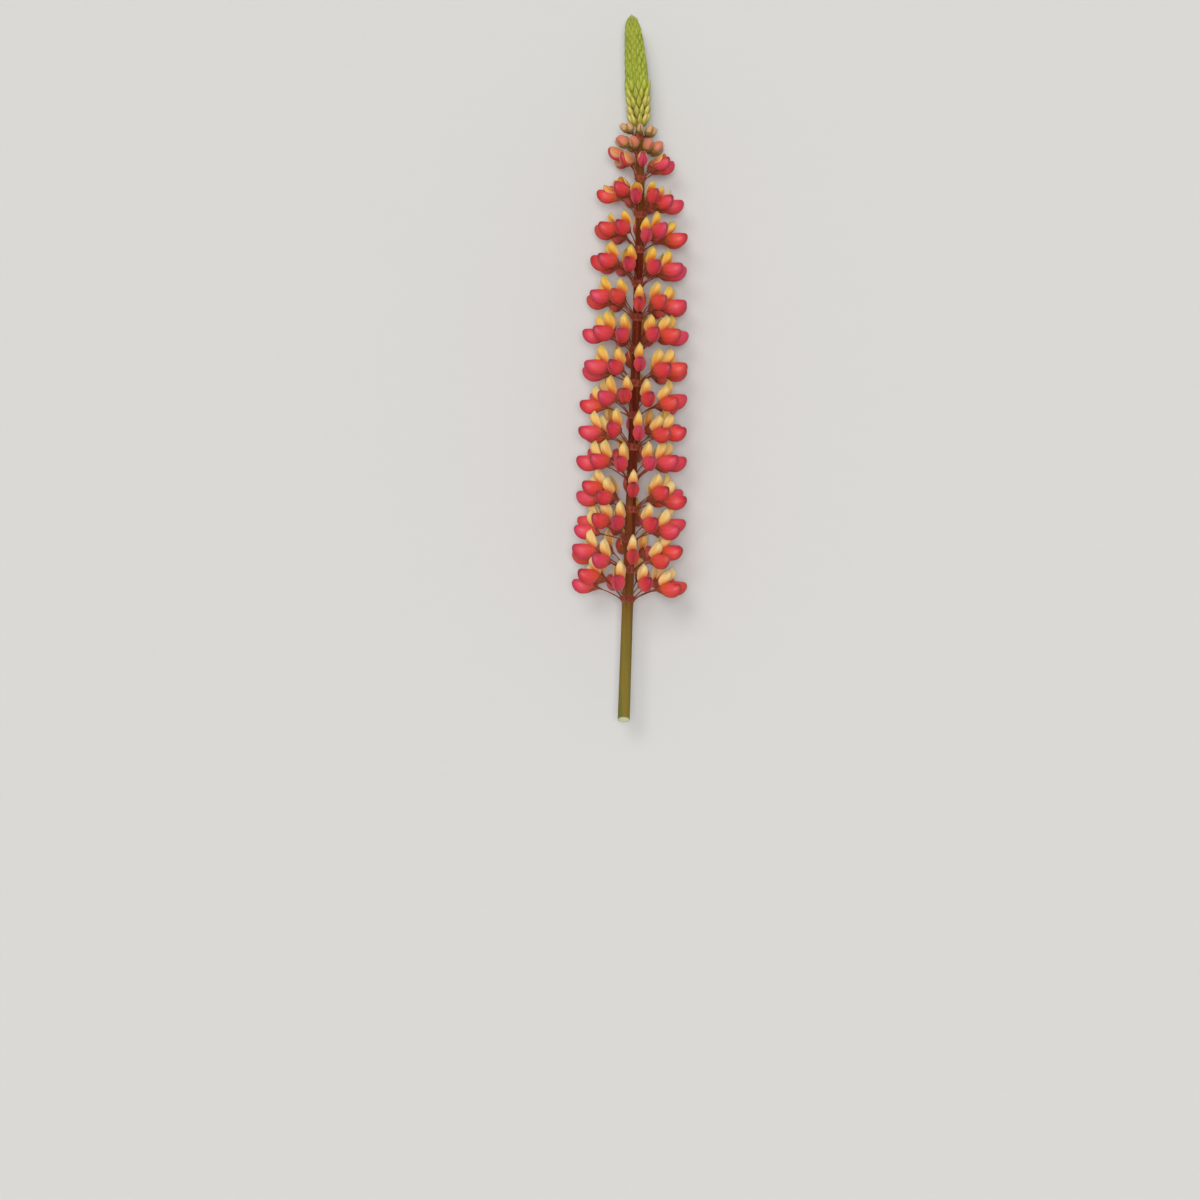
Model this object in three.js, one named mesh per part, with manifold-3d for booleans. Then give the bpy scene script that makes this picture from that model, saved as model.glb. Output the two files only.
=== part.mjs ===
// A cut flower spike of a garden lupin, lying on its side on a level surface.
//
// Millimetres, +Z up. The stem runs along +Y from its cut end to the green tip, and +X is across it. The
// surface that it lies on is z = 0, and the origin is under the middle of the whole spike. The flowers
// grow in whorls. A whorl's pedicels join at a swollen ring round the stem, so a whorl is one piece.
// Bends, heights and angles follow formulas, and what varies from flower to flower comes from one
// repeatable draw.
import * as THREE from "three";
import { mergeVertices } from "three/addons/utils/BufferGeometryUtils.js";
import Module from "manifold-3d";

const wasm = await Module();
wasm.setup();

// ---- Driving dimensions: stem ----
const CUT_END_Y = -263; // middle of the oblique cut
const STEM_END_Y = 178.4; // where the green tip takes over
const STEM_RADII = [
  // along Y, radius
  [CUT_END_Y, 4.5],
  [-215, 4.3],
  [-163, 4.1],
  [-80, 3.7],
  [0, 3.5],
  [60, 3.35],
  [105, 3.2],
  [145, 3.0],
  [STEM_END_Y, 2.7],
];
const STEM_SIDES = 10;
const CUT_SLANT = 0.45; // mm along the stem for each mm up
// The stem's line leans to +X, then nods back above NOD_START_Y. It falls towards the tip, where the
// whorls are smaller.
const LEAN = 0.0335;
const LEAN_AT_ORIGIN = 3.9;
const NOD_START_Y = 87;
const NOD = 0.00037;
const HEIGHT_AT_ORIGIN = 34.9;
const FALL = 0.02;

// ---- Driving dimensions: whorls ----
const LOWEST_WHORL_Y = -163; // where the lowest flowers' middles are along the stem
const WHORLS = 14;
const LOWEST_PITCH = 22.1; // from the lowest whorl to the next
const PITCH_GROWTH = 0.342; // each later pitch is this much longer
const FLOWERS_PER_WHORL = 10;
const FLOWERS_IN_TOP_WHORL = 8;
const LOWEST_REACH = 42.8; // from the stem's line to the flowers' tips
const WHORL_TWIST = 0.07; // angle of the first flower from straight up
const ATTACH_BELOW = 10; // a pedicel leaves the stem this far below its flower's middle
const PEDICEL_RADIUS = 0.9;
const RING_GAP = 0.5; // between a whorl's ring and the stem, at the ring's corners
const RING_WALL = 0.9;
const RING_PROFILE = [
  // share of the wall, along the stem
  [0, -1.9],
  [1, -1.1],
  [1, 1.7],
  [0, 2.5],
];
// How far one flower differs from the next, each way.
const VARIES = { angle: 0.05, reach: 1.2, size: 0.03, swing: 0.06 };
const PRESSED = 0.3; // most that a flower sinks into the surface before it leans over instead
const MOST_LEAN = 0.9;

// ---- Driving dimensions: flower ----
// A flower's side view lies in a plane through the stem. In it, a is outward and b is along the stem,
// from the pedicel's end. Each row is a ring's middle a and b, its half height, its half width and its
// slope.
const BODY_LENGTH = 20.5;
const CALYX = [1.6, 0.7, 2.0, 1.8, 0.25];
const THROAT = [4.5, 1.5, 3.6, 2.9, 0.1];
const WING_REAR = [9.4, 0.8, 5.8, 4.6, 0];
const WING_FRONT = [15.2, 1.1, 5.8, 4.6, 0.2];
const BEAK = [19.0, 2.6, 3.8, 3.0, 0.5];
const BEAK_TIP = [20.6, 4.0, 0];
const FLOWER_SIDES = 6;
// The banner petal's outline where it is widest, and its point. Rows are a, b and the distance to the
// side. They run from one rear edge round the front fold to the other rear edge, then to the hollow
// between the folded sides.
const BANNER_MIDDLE = [
  [1.9, 10.6, 3.3],
  [10.2, 12.0, 2.8],
  [12.2, 12.6, 0],
  [10.2, 12.0, -2.8],
  [1.9, 10.6, -3.3],
  [6.4, 11.0, 0],
];
const BANNER_POINT = [8.0, 16.0, 0];
const BANNER_ROOT_HEIGHT = 5.5;

// ---- Driving dimensions: buds and tip ----
const BUD_WHORLS = [
  { y: 168, attach: 160.5, reach: 19.5, length: 12, halfWidth: 3.9, skew: 3 },
  { y: 179.5, attach: 173.5, reach: 13.8, length: 8.5, halfWidth: 2.6, skew: 2 },
];
const BUDS_PER_WHORL = 8;
const BUD_SLOPE = 0.5;
const BUD_SIDES = 6;
const BUD_ROOT_RADIUS = 0.8;
const BUD_VARIES = { reach: 0.8, rise: 0.6 };
const BUD_RINGS = [
  // share of the length, share of the half width
  [0.04, 0.45],
  [0.38, 1],
  [0.76, 0.8],
];

const TIP_GAP = 0.3; // between the stem's end and the tip
const TIP_FOOT_RADIUS = 2.5;
const TIP_SIDES = 8; // and buds in a row
const YOUNG_BUD_ROWS = [
  // along Y where they attach, radius of the core there, reach, length
  [183.5, 2.8, 8.8, 8.5],
  [190.5, 3.1, 10.0, 8.2],
  [197.5, 3.7, 10.0, 7.6],
  [203.8, 4.5, 9.9, 7.0],
  [209.3, 5.2, 9.8, 5.6],
];
const YOUNG_BUD_HALF_WIDTH = 2.1;
const YOUNG_BUD_SLOPE = 1.1;
const YOUNG_BUD_RISE = 0.55; // share of its length that a bud's middle is above its root
const YOUNG_BUD_SIDES = 4;
const YOUNG_BUD_RINGS = BUD_RINGS.slice(1);
const CORE_SIDE_HALF_HEIGHT = 1.2;
const CONE_ROWS = [
  // along Y, radius at the buds' shoulders
  [217.8, 8.8],
  [223.2, 9.1],
  [228.6, 8.8],
  [234, 8.5],
  [239.2, 8.1],
  [244.2, 7.7],
  [249, 7.3],
  [253.6, 6.9],
  [258, 6.2],
];
const CONE_TOP = [262, 4.8];
const HOLLOW_ABOVE = 1.5; // from a row's shoulders to the hollow past them
const HOLLOW_DEPTH = 0.7;
const TIP_END_Y = 265.2;

const MAROON_BROWN = 0x5f3a2a;
const CORAL = 0xd5334a;
const SALMON = 0xc87a5a;
const YELLOW_GREEN = 0x9aae2c;

// ---- Repeatable draw ----
// The same number from -1 to 1 for the same whorl, flower and use.
function draw(whorl, flower, use) {
  const wave = Math.sin(whorl * 12.9898 + flower * 78.233 + use * 37.719) * 43758.5453;
  return 2 * (wave - Math.floor(wave)) - 1;
}

// ---- The stem's line ----
function axisPoint(y) {
  const past = Math.max(0, y - NOD_START_Y);
  return new THREE.Vector3(LEAN_AT_ORIGIN + LEAN * y - NOD * past * past, y, HEIGHT_AT_ORIGIN - FALL * y);
}

// At a place along the stem: its tangent, the side that faces up, and the side that faces +X.
function axisFrame(y) {
  const along = axisPoint(y + 1)
    .sub(axisPoint(y - 1))
    .normalize();
  const up = new THREE.Vector3(0, 0, 1).addScaledVector(along, -along.z).normalize();
  const side = new THREE.Vector3().crossVectors(along, up);
  return { origin: axisPoint(y), along, up, side };
}

// A point given by its distance out from the stem's line, its angle round the stem from straight up, and
// its distance along the stem from y.
function aroundStem(y, angle, out, forward) {
  const { origin, along, up, side } = axisFrame(y);
  return origin
    .addScaledVector(up, out * Math.cos(angle))
    .addScaledVector(side, out * Math.sin(angle))
    .addScaledVector(along, forward);
}

// The stem's radius, anywhere after its cut end.
function stemRadius(y) {
  const next = STEM_RADII.findIndex(([at]) => at >= y);
  const [[y0, r0], [y1, r1]] = [STEM_RADII[next - 1], STEM_RADII[next]];
  return THREE.MathUtils.mapLinear(y, y0, y1, r0, r1);
}

// A ring of points round the stem. It runs anticlockwise as seen from the spike's tip.
function roundRing(y, radius, sides, forward = 0, start = 0) {
  const turn = (2 * Math.PI) / sides;
  return Array.from({ length: sides }, (_, i) => aroundStem(y, start + turn * i, radius, forward));
}

// ---- Closed skins ----
// Which of a hole's points each of the four corners round it joins, by the number of the hole's points.
const HOLE_FANS = {
  4: [
    [1, 2],
    [2, 3],
    [3, 0],
    [0, 1],
  ],
  6: [
    [1, 2, 3],
    [3, 4, 5],
    [5, 0],
    [0, 1],
  ],
};

// Builds one closed surface out of rings of points. A ring runs anticlockwise as seen from where the skin
// goes next.
class Skin {
  constructor() {
    this.points = [];
    this.faces = [];
  }
  ring(points) {
    const first = this.points.length;
    this.points.push(...points);
    return points.map((_, i) => first + i);
  }
  // Joins two rings, but for the sides named in open.
  band(low, high, open = []) {
    low.forEach((_, i) => {
      const j = (i + 1) % low.length;
      if (!open.includes(i)) this.faces.push([low[i], low[j], high[j]], [low[i], high[j], high[i]]);
    });
  }
  toPoint(ring, [apex]) {
    ring.forEach((p, i) => this.faces.push([p, ring[(i + 1) % ring.length], apex]));
  }
  flatEnd(ring) {
    for (let i = 1; i < ring.length - 1; i++) this.faces.push([ring[0], ring[i], ring[i + 1]]);
  }
  // Fills between four corners and a hole that another part of the skin grows from. Both run
  // anticlockwise as seen from outside. The corners start at the foot, on the hole's left.
  frame(corners, hole) {
    HOLE_FANS[hole.length].forEach((fan, i) => {
      for (let j = 1; j < fan.length; j++) this.faces.push([corners[i], hole[fan[j]], hole[fan[j - 1]]]);
      this.faces.push([corners[i], corners[(i + 1) % 4], hole[fan.at(-1)]]);
    });
  }
  solid() {
    const geometry = new THREE.BufferGeometry().setFromPoints(this.points);
    return solidFrom(geometry.setIndex(this.faces.flat()));
  }
}

function solidFrom(geometry) {
  const bare = geometry.clone();
  bare.deleteAttribute("normal");
  bare.deleteAttribute("uv");
  const merged = mergeVertices(bare, 1e-4);
  return new wasm.Manifold(
    new wasm.Mesh({
      numProp: 3,
      vertProperties: merged.attributes.position.array,
      triVerts: new Uint32Array(merged.index.array),
    }),
  );
}

function geometryFrom(solid) {
  const mesh = solid.getMesh();
  const corners = new Float32Array(mesh.numVert * 3);
  for (let i = 0; i < mesh.numVert; i++) {
    corners.set(mesh.vertProperties.subarray(i * mesh.numProp, i * mesh.numProp + 3), i * 3);
  }
  return new THREE.BufferGeometry()
    .setAttribute("position", new THREE.BufferAttribute(corners, 3))
    .setIndex(new THREE.BufferAttribute(new Uint32Array(mesh.triVerts), 1));
}

// What would sink below the surface that the spike lies on is pressed flat there.
const FLOOR_BLOCK = [400, 800, 40];
const floorBlock = solidFrom(new THREE.BoxGeometry(...FLOOR_BLOCK).translate(0, 0, -FLOOR_BLOCK[2] / 2));

// ---- Flower ----
// A ring of points across a side view. It stands square to the slope of the body there.
function crossRing([a, b, halfHeight, halfWidth, slope], sides) {
  return Array.from({ length: sides }, (_, i) => {
    const turn = (2 * Math.PI * i) / sides;
    const rise = halfHeight * Math.cos(turn);
    return [a - rise * Math.sin(slope), b + rise * Math.cos(slope), halfWidth * Math.sin(turn)];
  });
}

// All of a flower's points, as [out from the stem's line, along the stem, to the side]. Its tip is at
// reach and its pedicel's end at rise. open runs from nearly 0, a bud with its banner wrapped down, to 1.
function flowerPoints({ reach, size, rise, open, root }) {
  const place = ([a, b, c]) => [reach + (a - BODY_LENGTH) * size, rise + b * size, c * size];
  const ring = (row) => crossRing(row, FLOWER_SIDES).map(place);
  const unfold = ([a, b, c]) => place([a, BANNER_ROOT_HEIGHT + (b - BANNER_ROOT_HEIGHT) * open, c]);
  return {
    root: crossRing([root, 0, PEDICEL_RADIUS, PEDICEL_RADIUS, 0], FLOWER_SIDES),
    calyx: ring(CALYX),
    throat: ring(THROAT),
    wingRear: ring(WING_REAR),
    wingFront: ring(WING_FRONT),
    beak: ring(BEAK),
    bannerMiddle: BANNER_MIDDLE.map(unfold),
    beakTip: [place(BEAK_TIP)],
    bannerPoint: [unfold(BANNER_POINT)],
  };
}

// Sets a side view's points round the stem at y. First the side view tips by lean towards the spike's tip
// and turns sideways by swing, both about the pedicel's root.
function setRound({ y, angle, root, lean, swing }) {
  const { along, up, side } = axisFrame(y);
  const across = up.clone().multiplyScalar(Math.sin(angle)).addScaledVector(side, -Math.cos(angle));
  return ([out, forward, aside]) => {
    const o = out - root;
    const tippedOut = o * Math.cos(lean) - forward * Math.sin(lean);
    const tippedForward = o * Math.sin(lean) + forward * Math.cos(lean);
    return aroundStem(y, angle, root + tippedOut, 0)
      .addScaledVector(along, tippedForward)
      .addScaledVector(across, aside + tippedOut * Math.tan(swing));
  };
}

// Adds a flower to a skin, and gives back the ring at its pedicel's root, which is left open.
function growFlower(skin, points, place) {
  const added = Object.entries(points).map(([name, ring]) => [name, skin.ring(ring.map(place))]);
  const { root, calyx, throat, wingRear, wingFront, beak, beakTip, bannerMiddle, bannerPoint } =
    Object.fromEntries(added);
  skin.band(root, calyx);
  skin.band(calyx, throat);
  skin.band(throat, wingRear, [0, FLOWER_SIDES - 1]);
  skin.band(wingRear, wingFront);
  skin.band(wingFront, beak);
  skin.toPoint(beak, beakTip);
  // The banner grows out of the gap left on top, between the throat and the rear of the wings.
  const bannerFoot = [throat[1], wingRear[1], wingRear[0], wingRear[5], throat[5], throat[0]];
  skin.band(bannerFoot, bannerMiddle);
  skin.toPoint(bannerMiddle, bannerPoint);
  return root;
}

// The smallest lean with which no point is more than PRESSED below the surface.
function restingLean(points, placing) {
  const sinks = (lean) => {
    const place = setRound({ ...placing, lean });
    return points.some((point) => place(point).z < -PRESSED);
  };
  let [low, high] = [placing.lean, MOST_LEAN];
  if (!sinks(low)) return low;
  while (high - low > 1e-4) {
    const middle = (low + high) / 2;
    if (sinks(middle)) low = middle;
    else high = middle;
  }
  return high;
}

// ---- Whorl of flowers ----
// Whorls are counted from the lowest, 0. The flowers get smaller and less open near the top.
function whorlShape(index) {
  const age = index / (WHORLS - 1);
  const size = 1 - 0.18 * age ** 10;
  const y = LOWEST_WHORL_Y + index * LOWEST_PITCH + (PITCH_GROWTH * index * (index - 1)) / 2;
  return {
    attach: y - ATTACH_BELOW * size,
    size,
    reach: LOWEST_REACH - 5.5 * age - 9 * age ** 8,
    open: 1 - 0.8 * age ** 14,
    lean: 0.02 + 0.25 * age ** 8,
    skew: 4.5 * Math.max(0, (age - 0.4) / 0.6),
    scatter: 2.6 - 1.4 * age,
    count: index === WHORLS - 1 ? FLOWERS_IN_TOP_WHORL : FLOWERS_PER_WHORL,
  };
}

const ringRadius = (attach, share) => stemRadius(attach) + RING_GAP + share * RING_WALL;
const sideDistance = (attach, count) => ringRadius(attach, 1) * Math.cos(Math.PI / count);
const startAngle = (index, count) => WHORL_TWIST + (index % 2 ? 0 : Math.PI / count);

// A whorl as one skin: a swollen ring round the stem, with a flat side for each flower. start is the
// angle of the first side's middle. grow adds the flower with a given number and gives back the ring at
// its root.
function whorlOf(count, attach, start, grow) {
  const skin = new Skin();
  const rings = RING_PROFILE.map(([share, forward]) =>
    skin.ring(roundRing(attach, ringRadius(attach, share), count, forward, start + Math.PI / count)),
  );
  const [innerLow, low, high, innerHigh] = rings;
  skin.band(innerLow, low);
  skin.band(high, innerHigh);
  skin.band(innerHigh, innerLow);
  low.forEach((_, i) => {
    const before = (i + count - 1) % count;
    skin.frame([low[before], low[i], high[i], high[before]], grow(skin, i));
  });
  return skin.solid();
}

function flowerWhorl(index) {
  const { attach, size, reach, open, lean, skew, scatter, count } = whorlShape(index);
  const root = sideDistance(attach, count);
  const start = startAngle(index, count);
  const grow = (skin, flower) => {
    const [turned, longer, larger, higher, swung] = [1, 2, 3, 4, 5].map((use) => draw(index, flower, use));
    const angle = start + (2 * Math.PI * flower) / count + VARIES.angle * turned;
    const points = flowerPoints({
      reach: reach + VARIES.reach * longer,
      size: size * (1 + VARIES.size * larger),
      rise: (ATTACH_BELOW - 1) * size - skew * Math.sin(angle) + scatter * higher,
      open,
      root,
    });
    const placing = { y: attach, angle, root, lean, swing: VARIES.swing * swung };
    const rested = restingLean(Object.values(points).flat(), placing);
    return growFlower(skin, points, setRound({ ...placing, lean: rested }));
  };
  return whorlOf(count, attach, start, grow).subtract(floorBlock);
}

// ---- Buds ----
// A closed bud on its pedicel, as points of a side view: rings from the root outward, then the tip.
function budPoints({ reach, rise, length, halfWidth, root, rootRadius, slope, sides, shape }) {
  const middle = [reach - 0.5 * length * Math.cos(slope), rise];
  const at = (share) => [
    middle[0] + (share - 0.5) * length * Math.cos(slope),
    middle[1] + (share - 0.5) * length * Math.sin(slope),
  ];
  const rings = shape.map(([share, width]) =>
    crossRing([...at(share), halfWidth * width, halfWidth * width, slope], sides),
  );
  return [crossRing([root, 0, rootRadius, rootRadius, 0], sides), ...rings, [[...at(1), 0]]];
}

// Adds a bud to a skin, and gives back the ring at its root, which is left open.
function growBud(skin, points, place) {
  const rings = points.map((ring) => skin.ring(ring.map(place)));
  for (let i = 1; i < rings.length - 1; i++) skin.band(rings[i - 1], rings[i]);
  skin.toPoint(rings.at(-2), rings.at(-1));
  return rings[0];
}

function budWhorl({ y, attach, reach, length, halfWidth, skew }, index) {
  const root = sideDistance(attach, BUDS_PER_WHORL);
  const start = startAngle(index, BUDS_PER_WHORL);
  return whorlOf(BUDS_PER_WHORL, attach, start, (skin, bud) => {
    const angle = start + (2 * Math.PI * bud) / BUDS_PER_WHORL;
    const [longer, higher] = [2, 4].map((use) => draw(WHORLS + index, bud, use));
    const points = budPoints({
      reach: reach + BUD_VARIES.reach * longer,
      rise: y - attach - skew * Math.sin(angle) + BUD_VARIES.rise * higher,
      length,
      halfWidth,
      root,
      rootRadius: BUD_ROOT_RADIUS,
      slope: BUD_SLOPE,
      sides: BUD_SIDES,
      shape: BUD_RINGS,
    });
    return growBud(skin, points, setRound({ y: attach, angle, root, lean: 0, swing: 0 }));
  });
}

// ---- Green tip ----
// Young buds stand apart at its foot and close up into a scaly cone. Each row is half a side round from
// the last.
function budTip() {
  const skin = new Skin();
  const halfSide = Math.PI / TIP_SIDES;
  const sideMiddle = (row) => WHORL_TWIST + (row % 2) * halfSide;
  const ring = (y, radius, forward, row) =>
    skin.ring(roundRing(y, radius, TIP_SIDES, forward, sideMiddle(row) + halfSide));
  let last = ring(STEM_END_Y + TIP_GAP, TIP_FOOT_RADIUS, 0, 0);
  skin.flatEnd([...last].reverse());
  const growTo = (next) => {
    skin.band(last, next);
    last = next;
  };
  YOUNG_BUD_ROWS.forEach(([attach, radius, reach, length], row) => {
    const low = ring(attach, radius, -CORE_SIDE_HALF_HEIGHT, row);
    const high = ring(attach, radius, CORE_SIDE_HALF_HEIGHT, row);
    growTo(low);
    const root = radius * Math.cos(halfSide);
    const points = budPoints({
      reach,
      rise: YOUNG_BUD_RISE * length,
      length,
      halfWidth: YOUNG_BUD_HALF_WIDTH,
      root,
      rootRadius: BUD_ROOT_RADIUS,
      slope: YOUNG_BUD_SLOPE,
      sides: YOUNG_BUD_SIDES,
      shape: YOUNG_BUD_RINGS,
    });
    low.forEach((_, bud) => {
      const angle = sideMiddle(row) + 2 * halfSide * bud;
      const before = (bud + TIP_SIDES - 1) % TIP_SIDES;
      const opening = growBud(skin, points, setRound({ y: attach, angle, root, lean: 0, swing: 0 }));
      skin.frame([low[before], low[bud], high[bud], high[before]], opening);
    });
    last = high;
  });
  CONE_ROWS.forEach(([y, radius], i) => {
    const row = YOUNG_BUD_ROWS.length + i;
    growTo(ring(y, radius, 0, row));
    growTo(ring(y, radius - HOLLOW_DEPTH, HOLLOW_ABOVE, row));
  });
  growTo(ring(...CONE_TOP, 0, YOUNG_BUD_ROWS.length + CONE_ROWS.length));
  skin.toPoint(last, skin.ring([axisPoint(TIP_END_Y)]));
  return skin.solid();
}

// ---- Stem ----
function stem() {
  const skin = new Skin();
  const [cut, ...others] = STEM_RADII.map(([y, radius]) => roundRing(y, radius, STEM_SIDES));
  const cutMiddle = axisPoint(CUT_END_Y);
  cut.forEach((point) => (point.y += CUT_SLANT * (point.z - cutMiddle.z)));
  const rings = [cut, ...others].map((ring) => skin.ring(ring));
  skin.flatEnd([...rings[0]].reverse());
  for (let i = 1; i < rings.length; i++) skin.band(rings[i - 1], rings[i]);
  skin.flatEnd(rings.at(-1));
  return skin.solid();
}

// ---- Whole spike ----
// Each piece hangs from the point of the stem's line that it grows from.
function piece(name, solid, attach, color, roughness) {
  const anchor = axisPoint(attach);
  const geometry = geometryFrom(solid).translate(-anchor.x, -anchor.y, -anchor.z);
  const mesh = new THREE.Mesh(geometry, new THREE.MeshStandardMaterial({ color, roughness, metalness: 0 }));
  mesh.name = name;
  mesh.position.copy(anchor);
  return mesh;
}

const flowers = new THREE.Group();
for (let index = 0; index < WHORLS; index++) {
  const name = `whorl_${String(index + 1).padStart(2, "0")}`;
  flowers.add(piece(name, flowerWhorl(index), whorlShape(index).attach, CORAL, 0.55));
}

const buds = new THREE.Group();
BUD_WHORLS.forEach((whorl, index) => {
  buds.add(piece(`bud_whorl_${index + 1}`, budWhorl(whorl, index), whorl.attach, SALMON, 0.6));
});
buds.add(piece("bud_tip", budTip(), STEM_END_Y + TIP_GAP, YELLOW_GREEN, 0.65));

const spike = new THREE.Group();
spike.add(piece("stem", stem(), CUT_END_Y, MAROON_BROWN, 0.7), flowers, buds);

export default spike;
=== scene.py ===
# %% [markdown]
# # A lupin flower spike
#
# A lupin carries its flowers in rings, called whorls, up one straight stem. The oldest flowers are at the
# foot and the youngest buds are at the tip, so one spike shows every age of flower at once. This lesson
# dresses a cut spike that lies on a table. Its hard facts, such as where each whorl is and how far it
# reaches, are in the CAD frame. The petals, the calyxes and the colours are made here.
#
# Every shape below is a surface worked out with numpy, as rings of points, and all of them are closed. The
# numbers are in millimetres, and they become Blender's metres when a mesh is made.

import bpy
import numpy as np
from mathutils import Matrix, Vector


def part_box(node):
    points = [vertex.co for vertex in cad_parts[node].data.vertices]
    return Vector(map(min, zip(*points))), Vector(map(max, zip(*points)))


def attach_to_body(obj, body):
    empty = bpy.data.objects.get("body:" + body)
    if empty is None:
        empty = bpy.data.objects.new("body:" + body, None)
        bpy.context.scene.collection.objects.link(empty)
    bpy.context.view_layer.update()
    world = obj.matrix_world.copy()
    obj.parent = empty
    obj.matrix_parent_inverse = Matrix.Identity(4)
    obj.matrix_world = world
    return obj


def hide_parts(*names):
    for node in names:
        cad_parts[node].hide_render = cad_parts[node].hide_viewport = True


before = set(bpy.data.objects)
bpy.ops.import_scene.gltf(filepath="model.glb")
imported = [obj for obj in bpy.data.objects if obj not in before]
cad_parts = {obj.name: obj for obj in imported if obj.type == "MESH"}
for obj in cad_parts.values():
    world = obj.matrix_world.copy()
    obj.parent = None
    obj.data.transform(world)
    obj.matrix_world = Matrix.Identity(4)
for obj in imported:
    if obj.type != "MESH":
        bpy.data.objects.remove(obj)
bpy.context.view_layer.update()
MM = 0.001
print("nodes:", ", ".join(sorted(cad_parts)))

# %% [markdown]
# ## Camera
#
# The picture to match shows the spike upright, from the front. Lying down, the same view is from straight
# above. A picture is matched by where a known size falls in it: here one pixel is 0.75 mm at the height of
# the stem, and the picture's middle is below and to the left of the spike. A long lens keeps the rings of
# flowers at the tip and at the foot alike.

# %% Place the camera above the stem
PICTURE_PIXELS = 1200
PIXEL = 0.75
STEM_HEIGHT = 35.0
PICTURE_MIDDLE = (-22.7, -173.5)
CAMERA_DISTANCE = 3200.0
SENSOR = 36.0

camera = bpy.data.objects.new("camera", bpy.data.cameras.new("camera"))
bpy.context.scene.collection.objects.link(camera)
bpy.context.scene.camera = camera
camera.location = (
    PICTURE_MIDDLE[0] * MM,
    PICTURE_MIDDLE[1] * MM,
    (STEM_HEIGHT + CAMERA_DISTANCE) * MM,
)
camera.data.sensor_width = SENSOR
camera.data.lens = SENSOR * CAMERA_DISTANCE / (PICTURE_PIXELS * PIXEL)
camera.data.dof.use_dof = False
print("lens in mm:", camera.data.lens)

# %% [markdown]
# ## Floor and light
#
# Flowers look right in soft light, because hard shadows hide the petals' own shading. One light comes from
# high over the tip and from the left, as in the picture. A second comes from straight above, where its
# shadows fall out of sight under the spike. Both are suns with a wide disc, because a sun lights the whole
# floor evenly and its wide disc still gives soft shadows. A pale world fills the rest, so that the dark
# stem shows its colour and the floor stays pale behind the petals. Far away the floor sweeps up into a
# wall, so that a low view has no hard horizon behind the flowers.

# %% Colours as they are read from a picture
def colour(red, green, blue):
    """A colour read from a picture, from 0 to 255, as the linear light that a shader works with."""
    shown = np.array([red, green, blue]) / 255
    linear = np.where(shown <= 0.04045, shown / 12.92, ((shown + 0.055) / 1.055) ** 2.4)
    return (*linear.tolist(), 1.0)


# %% Join rings of points with faces
def ring_quads(rows, columns):
    """The four-sided faces between rings of points, with the row and the column that each starts at."""
    row, column = np.meshgrid(np.arange(rows - 1), np.arange(columns), indexing="ij")
    after = (column + 1) % columns
    low, high = row * columns, (row + 1) * columns
    quads = np.stack([low + column, low + after, high + after, high + column], axis=-1)
    return quads.reshape(-1, 4), row, column


print("three rings of four points have", len(ring_quads(3, 4)[0]), "faces")

# %% Build the studio
FLOOR_FLAT = 5.0  # how far the floor is flat, in metres
FLOOR_SWEEP = 2.5  # the radius of its sweep up into the wall
WALL_HEIGHT = 5.0
SWEEP_ROWS = 13
FLOOR_COLUMNS = 96
FLOOR_COLOUR = colour(211, 210, 207)
FILL_STRENGTH = 0.4


def studio_floor():
    """A floor that sweeps up into a wall all round: a profile of radius and height, turned about Z.

    The profile is a flat stretch, a quarter of a circle, and a straight wall.
    """
    bend = np.linspace(0, np.pi / 2, SWEEP_ROWS)
    sweep = FLOOR_FLAT + FLOOR_SWEEP * np.sin(bend)
    radius = np.concatenate([[FLOOR_FLAT / 2], sweep, sweep[-1:]])
    height = np.concatenate([[0.0], FLOOR_SWEEP * (1 - np.cos(bend)), [WALL_HEIGHT]])
    turn = np.linspace(0, 2 * np.pi, FLOOR_COLUMNS, endpoint=False)
    ring = np.stack([np.cos(turn), np.sin(turn), 0 * turn], axis=-1)
    points = radius[:, None, None] * ring + height[:, None, None] * np.array([0.0, 0.0, 1.0])
    quads = ring_quads(len(radius), FLOOR_COLUMNS)[0][:, ::-1]
    mesh = bpy.data.meshes.new("floor")
    mesh.from_pydata(points.reshape(-1, 3).tolist(), [], [list(range(FLOOR_COLUMNS))] + quads.tolist())
    mesh.polygons.foreach_set("use_smooth", np.ones(len(mesh.polygons), bool))
    floor = bpy.data.objects.new("floor", mesh)
    bpy.context.scene.collection.objects.link(floor)
    material = bpy.data.materials.new("floor")
    material.use_nodes = True
    shader = material.node_tree.nodes["Principled BSDF"]
    shader.inputs["Base Color"].default_value = FLOOR_COLOUR
    shader.inputs["Roughness"].default_value = 0.9
    mesh.materials.append(material)
    return floor


def shine(name, place, disc, strength):
    """A sun that shines from the side where place is. disc is how wide it looks, in degrees."""
    sun = bpy.data.objects.new(name, bpy.data.lights.new(name, "SUN"))
    bpy.context.scene.collection.objects.link(sun)
    sun.location = place
    sun.rotation_euler = (-sun.location).to_track_quat("-Z", "Y").to_euler()
    sun.data.angle = np.radians(disc)
    sun.data.energy = strength


studio_floor()
shine("high_left_sun", place=(-1.0, 1.5, 4.2), disc=22.0, strength=0.8)
shine("overhead_sun", place=(0.0, 0.0, 5.0), disc=16.0, strength=1.43)

world = bpy.data.worlds.new("studio")
world.use_nodes = True
world.node_tree.nodes["Background"].inputs["Color"].default_value = colour(250, 250, 252)
world.node_tree.nodes["Background"].inputs["Strength"].default_value = FILL_STRENGTH
bpy.context.scene.world = world
bpy.context.scene.view_settings.view_transform = "Standard"
print("suns:", len(bpy.data.lights), "fill:", FILL_STRENGTH)

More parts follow.
